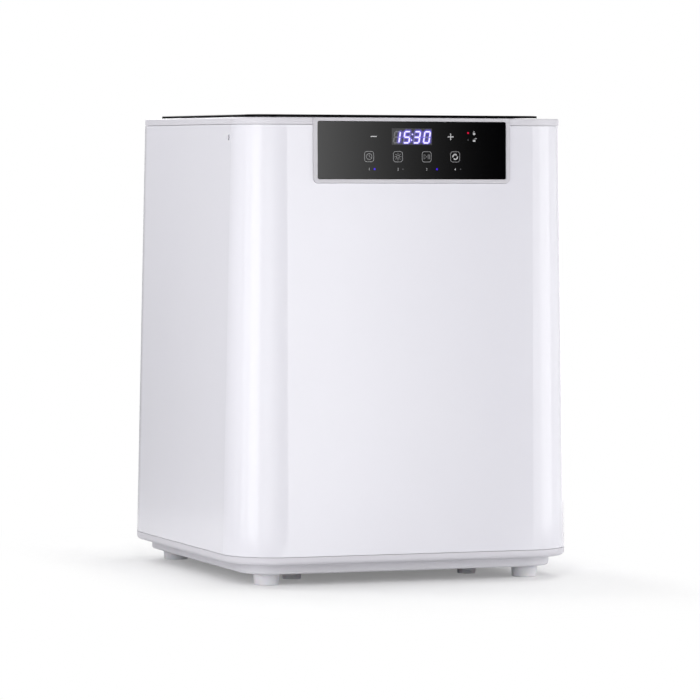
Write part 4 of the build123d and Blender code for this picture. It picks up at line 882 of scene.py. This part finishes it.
def lit_face(name, colour):
    """A lamp's face: even light with a faint mottle."""
    lit, tree, surface = new_material(name, IOR=1.52, Roughness=0.02, Emission_Strength=1.0)
    surface.inputs["Base Color"].default_value = linear("0C0C0E")
    place = add(tree, "ShaderNodeTexCoord")
    spots = {"Scale": per_metre(mottle_size)}
    mottle = add(tree, "ShaderNodeTexNoise", spots, {"Vector": (place, "Object")})
    full = linear(colour)
    weaker = [c * dimmest for c in full[:3]] + [1.0]
    tint = add(tree, "ShaderNodeMix", {"data_type": "RGBA", 6: full, 7: weaker}, {0: (mottle, 0)})
    tree.links.new(tint.outputs[2], surface.inputs["Emission Color"])
    return lit


# %% Digits and colon
time_shown = "1530"
haze_reach = 3.0
digit_centres = [window_across + (i - 1.5) * digit_pitch for i in range(4)]
lit, unlit, hems = [], [], []
for centre, digit in zip(digit_centres, time_shown):
    for bar, ends in bar_ends.items():
        if bar in lit_bars[digit]:
            lit.append(bar_outline(centre, ends))
            hems.append(bar_outline(centre, ends, haze_reach))
        else:
            unlit.append(bar_outline(centre, ends))

colon_up = 3.1
dot_radius = 0.75
dot_haze_radius = 2.6
for side in (-1, 1):
    dot = slanted(window_across, 0, side * colon_up)
    lit.append(circle(dot, dot_radius, 16))
    hems.append(circle(dot, dot_haze_radius, 16))
print("lit bars and dots:", len(lit), "and unlit bars:", len(unlit))

# %% Light of the display
unlit_lift = 0.02
lit_lift = 0.03
haze_lift = 0.04
haze_step = 0.004  # each haze lies a hair above the last, so that no two share a plane
unlit_bar = grained("unlit_bar", ("6C6C6E", "747476"), patch_mm=2, **glass_polish)
lay_flat("unlit_bars", unlit, unlit_lift, unlit_bar)
lay_flat("lit_bars", lit, lit_lift, lit_face("digit_light", "F4F0FF"))
violet_haze = light_haze("violet_haze", "7A68FF", 0.5)
for i, (core, hem) in enumerate(zip(lit, hems)):
    lay_haze(f"bar_haze_{i}", core, hem, haze_lift + haze_step * i, violet_haze)
print("haze pieces:", len(hems))

# %% [markdown]
# ## Key lights and lock lights
# The first and the third key light are on, in blue, and the red light beside
# the closed lock says that the lid is locked. A light that is off is a small
# grey dot. It is drawn smaller, because a light that is on spreads in its
# diffuser.

# %% Key lights and lock lights
light_radius = 1.1
unlit_radius = light_radius * 0.7
lock_light_across = 65.7
closed_light = (lock_light_across, 19.35)
open_light = (lock_light_across, 11.7)
lights_across = (-44.1, -11.1, 28.9, 56.7)
under_keys = [(across, light_up) for across in lights_across]
unlit_lamp = grained("unlit_lamp", ("4E4E50", "565658"), patch_mm=1, **glass_polish)
blue = [circle(under_keys[i], light_radius) for i in (0, 2)]
red = [circle(closed_light, light_radius)]
dark = [circle(place, unlit_radius) for place in (under_keys[1], under_keys[3], open_light)]
lay_flat("blue_lights", blue, lit_lift, lit_face("blue_light", "4010F4"))
lay_flat("unlit_lights", dark, lit_lift, unlit_lamp)
lay_flat("red_light", red, lit_lift, lit_face("red_light", "DC0038"))

# %% [markdown]
# ## The studio floor
# A product studio is a sheet of white paper under strong soft light: the
# paper burns out to pure white, and only the shadow close to the object
# stays. The paper here is a large diffuse sheet. It gets a little light of its
# own, but only for rays that come straight from the camera, so that this
# never lights the cabinet. Away from the cabinet the paper turns to plain
# white, since the lamps stand too close to light it there. The white starts
# just past the cabinet's outline, and it comes on more slowly in front and
# behind than at the sides, because the shadow is longer that way. A shadow
# catcher could do this too, but it needs a second picture to lie on.


# %% Floor helper
def flat_sheet(name, corners):
    """A flat piece of the studio with four corners."""
    mesh = bpy.data.meshes.new(name)
    mesh.from_pydata(corners, [], [(0, 1, 2, 3)])
    sheet = bpy.data.objects.new(name, mesh)
    bpy.context.scene.collection.objects.link(sheet)
    return sheet


# %% How far a point of the floor is from the cabinet
paper, tree = bare_material("white_paper")
half_outline = (cad_box[1][0], cad_box[1][1], 0)
nearness = (1.0, 0.35, 0)  # a metre in front or behind counts as 0.35 m
place = add(tree, "ShaderNodeTexCoord")
folded = add(tree, "ShaderNodeVectorMath", {"operation": "ABSOLUTE"}, {0: (place, "Object")})
past = add(tree, "ShaderNodeVectorMath", {"operation": "SUBTRACT", 1: half_outline}, {0: (folded, 0)})
outside = add(tree, "ShaderNodeVectorMath", {"operation": "MAXIMUM", 1: (0, 0, 0)}, {0: (past, 0)})
shrunk = add(tree, "ShaderNodeVectorMath", {"operation": "MULTIPLY", 1: nearness}, {0: (outside, 0)})
distance = add(tree, "ShaderNodeVectorMath", {"operation": "LENGTH"}, {0: (shrunk, 0)})
print("the floor's shadow may reach past", [round(c, 3) for c in half_outline[:2]], "m")

# %% Floor
reach = 30.0
own_light = 0.2
white_from_to = {"interpolation_type": "SMOOTHSTEP", "From Min": 0.02, "From Max": 0.13}
ray = add(tree, "ShaderNodeLightPath")
far = add(tree, "ShaderNodeMapRange", white_from_to, {"Value": (distance, "Value")})
far_seen = add(tree, "ShaderNodeMath", {"operation": "MULTIPLY"}, {0: (far, 0), 1: (ray, "Is Camera Ray")})
near_light = add(tree, "ShaderNodeMath", {"operation": "MULTIPLY", 1: own_light}, {0: (ray, "Is Camera Ray")})
fibre = add(tree, "ShaderNodeBsdfDiffuse", {"Color": linear("E9E9E9")})
shine = add(tree, "ShaderNodeEmission", links={"Strength": (near_light, 0)})
near = add(tree, "ShaderNodeAddShader", links={0: (fibre, 0), 1: (shine, 0)})
white = add(tree, "ShaderNodeEmission", {"Strength": 1.0})
both = add(tree, "ShaderNodeMixShader", links={0: (far_seen, 0), 1: (near, 0), 2: (white, 0)})
add(tree, "ShaderNodeOutputMaterial", links={"Surface": (both, 0)})
corners = [(-reach, -reach, 0), (reach, -reach, 0), (reach, reach, 0), (-reach, reach, 0)]
flat_sheet("floor", corners).data.materials.append(paper)
print("floor:", 2 * reach, "m square")

# %% [markdown]
# ## The studio air
# Camera rays, and rays that pass through the clear parts, see a white
# background. Gloss should see the lamps and the dark between them, because
# that contrast is what tells the eye that plastic and glass are shiny. A
# Light Path node tells one kind of ray from another.

# %% World
world = bpy.data.worlds.new("studio_air")
bpy.context.scene.world = world
world.use_nodes = True
tree = world.node_tree
tree.nodes.clear()
ray = add(tree, "ShaderNodeLightPath")
either_ray = {0: (ray, "Is Camera Ray"), 1: (ray, "Is Transmission Ray")}
through = add(tree, "ShaderNodeMath", {"operation": "MAXIMUM"}, either_ray)
dark_air = add(tree, "ShaderNodeBackground", {"Color": (1, 1, 1, 1), "Strength": 0.0})
white_air = add(tree, "ShaderNodeBackground", {"Color": (1, 1, 1, 1), "Strength": 1.0})
seen = add(tree, "ShaderNodeMixShader", links={0: (through, 0), 1: (dark_air, 0), 2: (white_air, 0)})
add(tree, "ShaderNodeOutputWorld", links={"Surface": (seen, 0)})
print("air: white for the camera, dark for gloss")

# %% [markdown]
# ## Standing lamps
# Upright glossy walls mirror only what stands low around them, and they are
# lit from above as much as from the side. So the low lamps draw the bright
# bands on the rounded corners, and the high lamps shade the plastic without
# showing in it. These lamps are flat softboxes on a circle round the cabinet.
# Each is given by the slice of that circle it fills, in degrees from the
# front towards the cabinet's left, and by its radiance: the brightness of its
# cloth, where 1 renders white. Blender wants a power, which is radiance times
# pi times area.

# %% Lamp helper
lamp_circle = 1.2


def hang_lamp(name, width, height, place, aim, radiance):
    """A flat lamp at a place that shines towards an aim."""
    lamp = bpy.data.lights.new(name, "AREA")
    lamp.shape = "RECTANGLE"
    lamp.size = width
    lamp.size_y = height
    lamp.energy = radiance * math.pi * width * height
    holder = bpy.data.objects.new(name, lamp)
    bpy.context.scene.collection.objects.link(holder)
    holder.location = place
    holder.rotation_euler = (aim - place).to_track_quat("-Z", "Y").to_euler()
    holder.visible_camera = False
    print(f"{name}: {width:.2f} x {height:.2f} m, {lamp.energy:.1f} W")


def softbox(name, start, end, low, high, radiance):
    """A lamp that fills a slice of the circle round the cabinet."""
    bearing = math.radians((start + end) / 2)
    width = 2 * lamp_circle * math.tan(math.radians(end - start) / 2)
    centre = Vector((0, 0, (low + high) / 2))
    outwards = Vector((-math.sin(bearing), -math.cos(bearing), 0))
    hang_lamp(name, width, high - low, centre + outwards * lamp_circle, centre, radiance)


# %% Low softboxes
waist = 0.7
softbox("low_front", 10, 22, 0, waist, 0.69)
softbox("low_left_front", 22, 48, 0, waist, 1.48)
softbox("low_left_band", 48, 68, 0, waist, 3.15)
softbox("low_left", 68, 84, 0, waist, 1.77)
softbox("low_left_side", 84, 104, 0, waist, 0.39)
softbox("low_left_rear", 150, 180, 0, waist, 0.15)
softbox("low_rear", 180, 210, 0, waist, 0.8)
softbox("low_right_front", -43, -28, 0, waist, 1.58)
softbox("low_right_band", -70, -43, 0, waist, 2.9)
softbox("low_right", -100, -70, 0, waist, 1.03)
softbox("low_right_side", -120, -100, 0, waist, 0.7)
softbox("low_right_rear", -150, -120, 0, waist, 1.72)

# %% High softboxes
head = 1.8
softbox("high_left_front", 15, 30, waist, head, 3.9)
softbox("high_left", 105, 135, waist, head, 4.83)
softbox("high_rear", 150, 180, waist, head, 3.64)

# %% [markdown]
# ## Hanging lamps
# Three square boxes hang from the ceiling and look at the lower half of the
# cabinet. The one straight above is weak, so the dark lid stays dark. The
# other two hang to the right, so the shadow falls to the left.

# %% Hanging boxes
lower_half = Vector((0, 0, 0.2))
hang_lamp("top_middle", 1.0, 1.0, Vector((0, 0, 2.0)), lower_half, 0.79)
hang_lamp("top_right", 0.8, 0.8, Vector((0.9, 0, 1.9)), lower_half, 4.63)
hang_lamp("top_right_rear", 0.8, 0.8, Vector((0.7, 0.7, 1.9)), lower_half, 2.07)

# %% [markdown]
# ## Fading cards
# The black glass and the front wall are mirrors for one narrow slice of the
# room, to the right of the camera. Lit cards stand there, and their light
# dies away towards the right, so the front goes softly from light to dark
# across its width. A lamp has one brightness all over, so each card is a
# sheet that shines by its own material.
#
# The glass sits above the wall and looks over the wall's card, so it has a
# card of its own. A third card stands above that one. It lights the front,
# but the lid would mirror it to somebody behind the cabinet, so it is
# switched off for glossy rays. A fourth card lies on the floor for the wall's
# lowest part: it only serves reflections, so it is switched off for diffuse
# rays.


# %% Card helper
card_line = -1.4
mirror_slant = 0.39  # how far a mirrored ray goes sideways for each metre forwards


def fading_card(name, corners, brightness, fade_from, fade_to, sharpness):
    """A lit sheet whose light dies away towards the right along the mirrored rays."""
    cloth, tree = bare_material(name)
    place = add(tree, "ShaderNodeTexCoord")
    to_line = {"operation": "ADD", 1: (0, -card_line, 0)}
    from_line = add(tree, "ShaderNodeVectorMath", to_line, {0: (place, "Object")})
    along_rays = {"operation": "DOT_PRODUCT", 1: (1, mirror_slant, 0)}
    rightwards_on_card = add(tree, "ShaderNodeVectorMath", along_rays, {0: (from_line, 0)})
    ends = {"From Min": fade_from, "From Max": fade_to, "To Min": 1.0, "To Max": 0.0}
    fade = add(tree, "ShaderNodeMapRange", ends, {"Value": (rightwards_on_card, "Value")})
    soft = add(tree, "ShaderNodeMath", {"operation": "POWER", 1: sharpness}, {0: (fade, 0)})
    strength = add(tree, "ShaderNodeMath", {"operation": "MULTIPLY", 1: brightness}, {0: (soft, 0)})
    shine = add(tree, "ShaderNodeEmission", links={"Strength": (strength, 0)})
    add(tree, "ShaderNodeOutputMaterial", links={"Surface": (shine, 0)})
    card = flat_sheet(name, corners)
    card.visible_camera = False
    card.data.materials.append(cloth)
    print(name, "fades from", fade_from, "to", fade_to, "m right of the middle")
    return card


def standing(left, right, low, high):
    """Corners of an upright sheet on the card line, facing the cabinet."""
    y = card_line
    return [(left, y, high), (right, y, high), (right, y, low), (left, y, low)]


# %% Cards for the glass
card_left = 0.12
glass_card_right = 0.64
sill = 0.475  # the wall mirrors what is lower than this, and the glass what is higher
lintel = 0.6
ceiling = 1.2
glass_light = {"brightness": 2.3, "fade_from": 0.31, "fade_to": 0.64, "sharpness": 2.4}
fading_card("glass_card", standing(card_left, glass_card_right, sill, lintel), **glass_light)
high_card = fading_card(
    "high_card", standing(card_left, glass_card_right, lintel, ceiling), **glass_light
)
high_card.visible_glossy = False

# %% Cards for the wall
wall_card_right = 0.60
wall_card_foot = 0.005
wall_light = {"brightness": 2.4, "fade_from": 0.36, "fade_to": 0.60, "sharpness": 1.0}
fading_card("wall_card", standing(card_left, wall_card_right, wall_card_foot, sill), **wall_light)

on_floor = 0.004
near_line = -0.6
near_shift = 0.32  # the card on the floor follows the slant of the mirrored rays
far_edge = [(card_left, card_line, on_floor), (wall_card_right, card_line, on_floor)]
near_edge = [(x - near_shift, near_line, on_floor) for x, _, _ in reversed(far_edge)]
floor_card = fading_card("floor_card", far_edge + near_edge, **wall_light)
floor_card.visible_diffuse = False

# %% Finish
bpy.context.scene.view_settings.view_transform = "Standard"
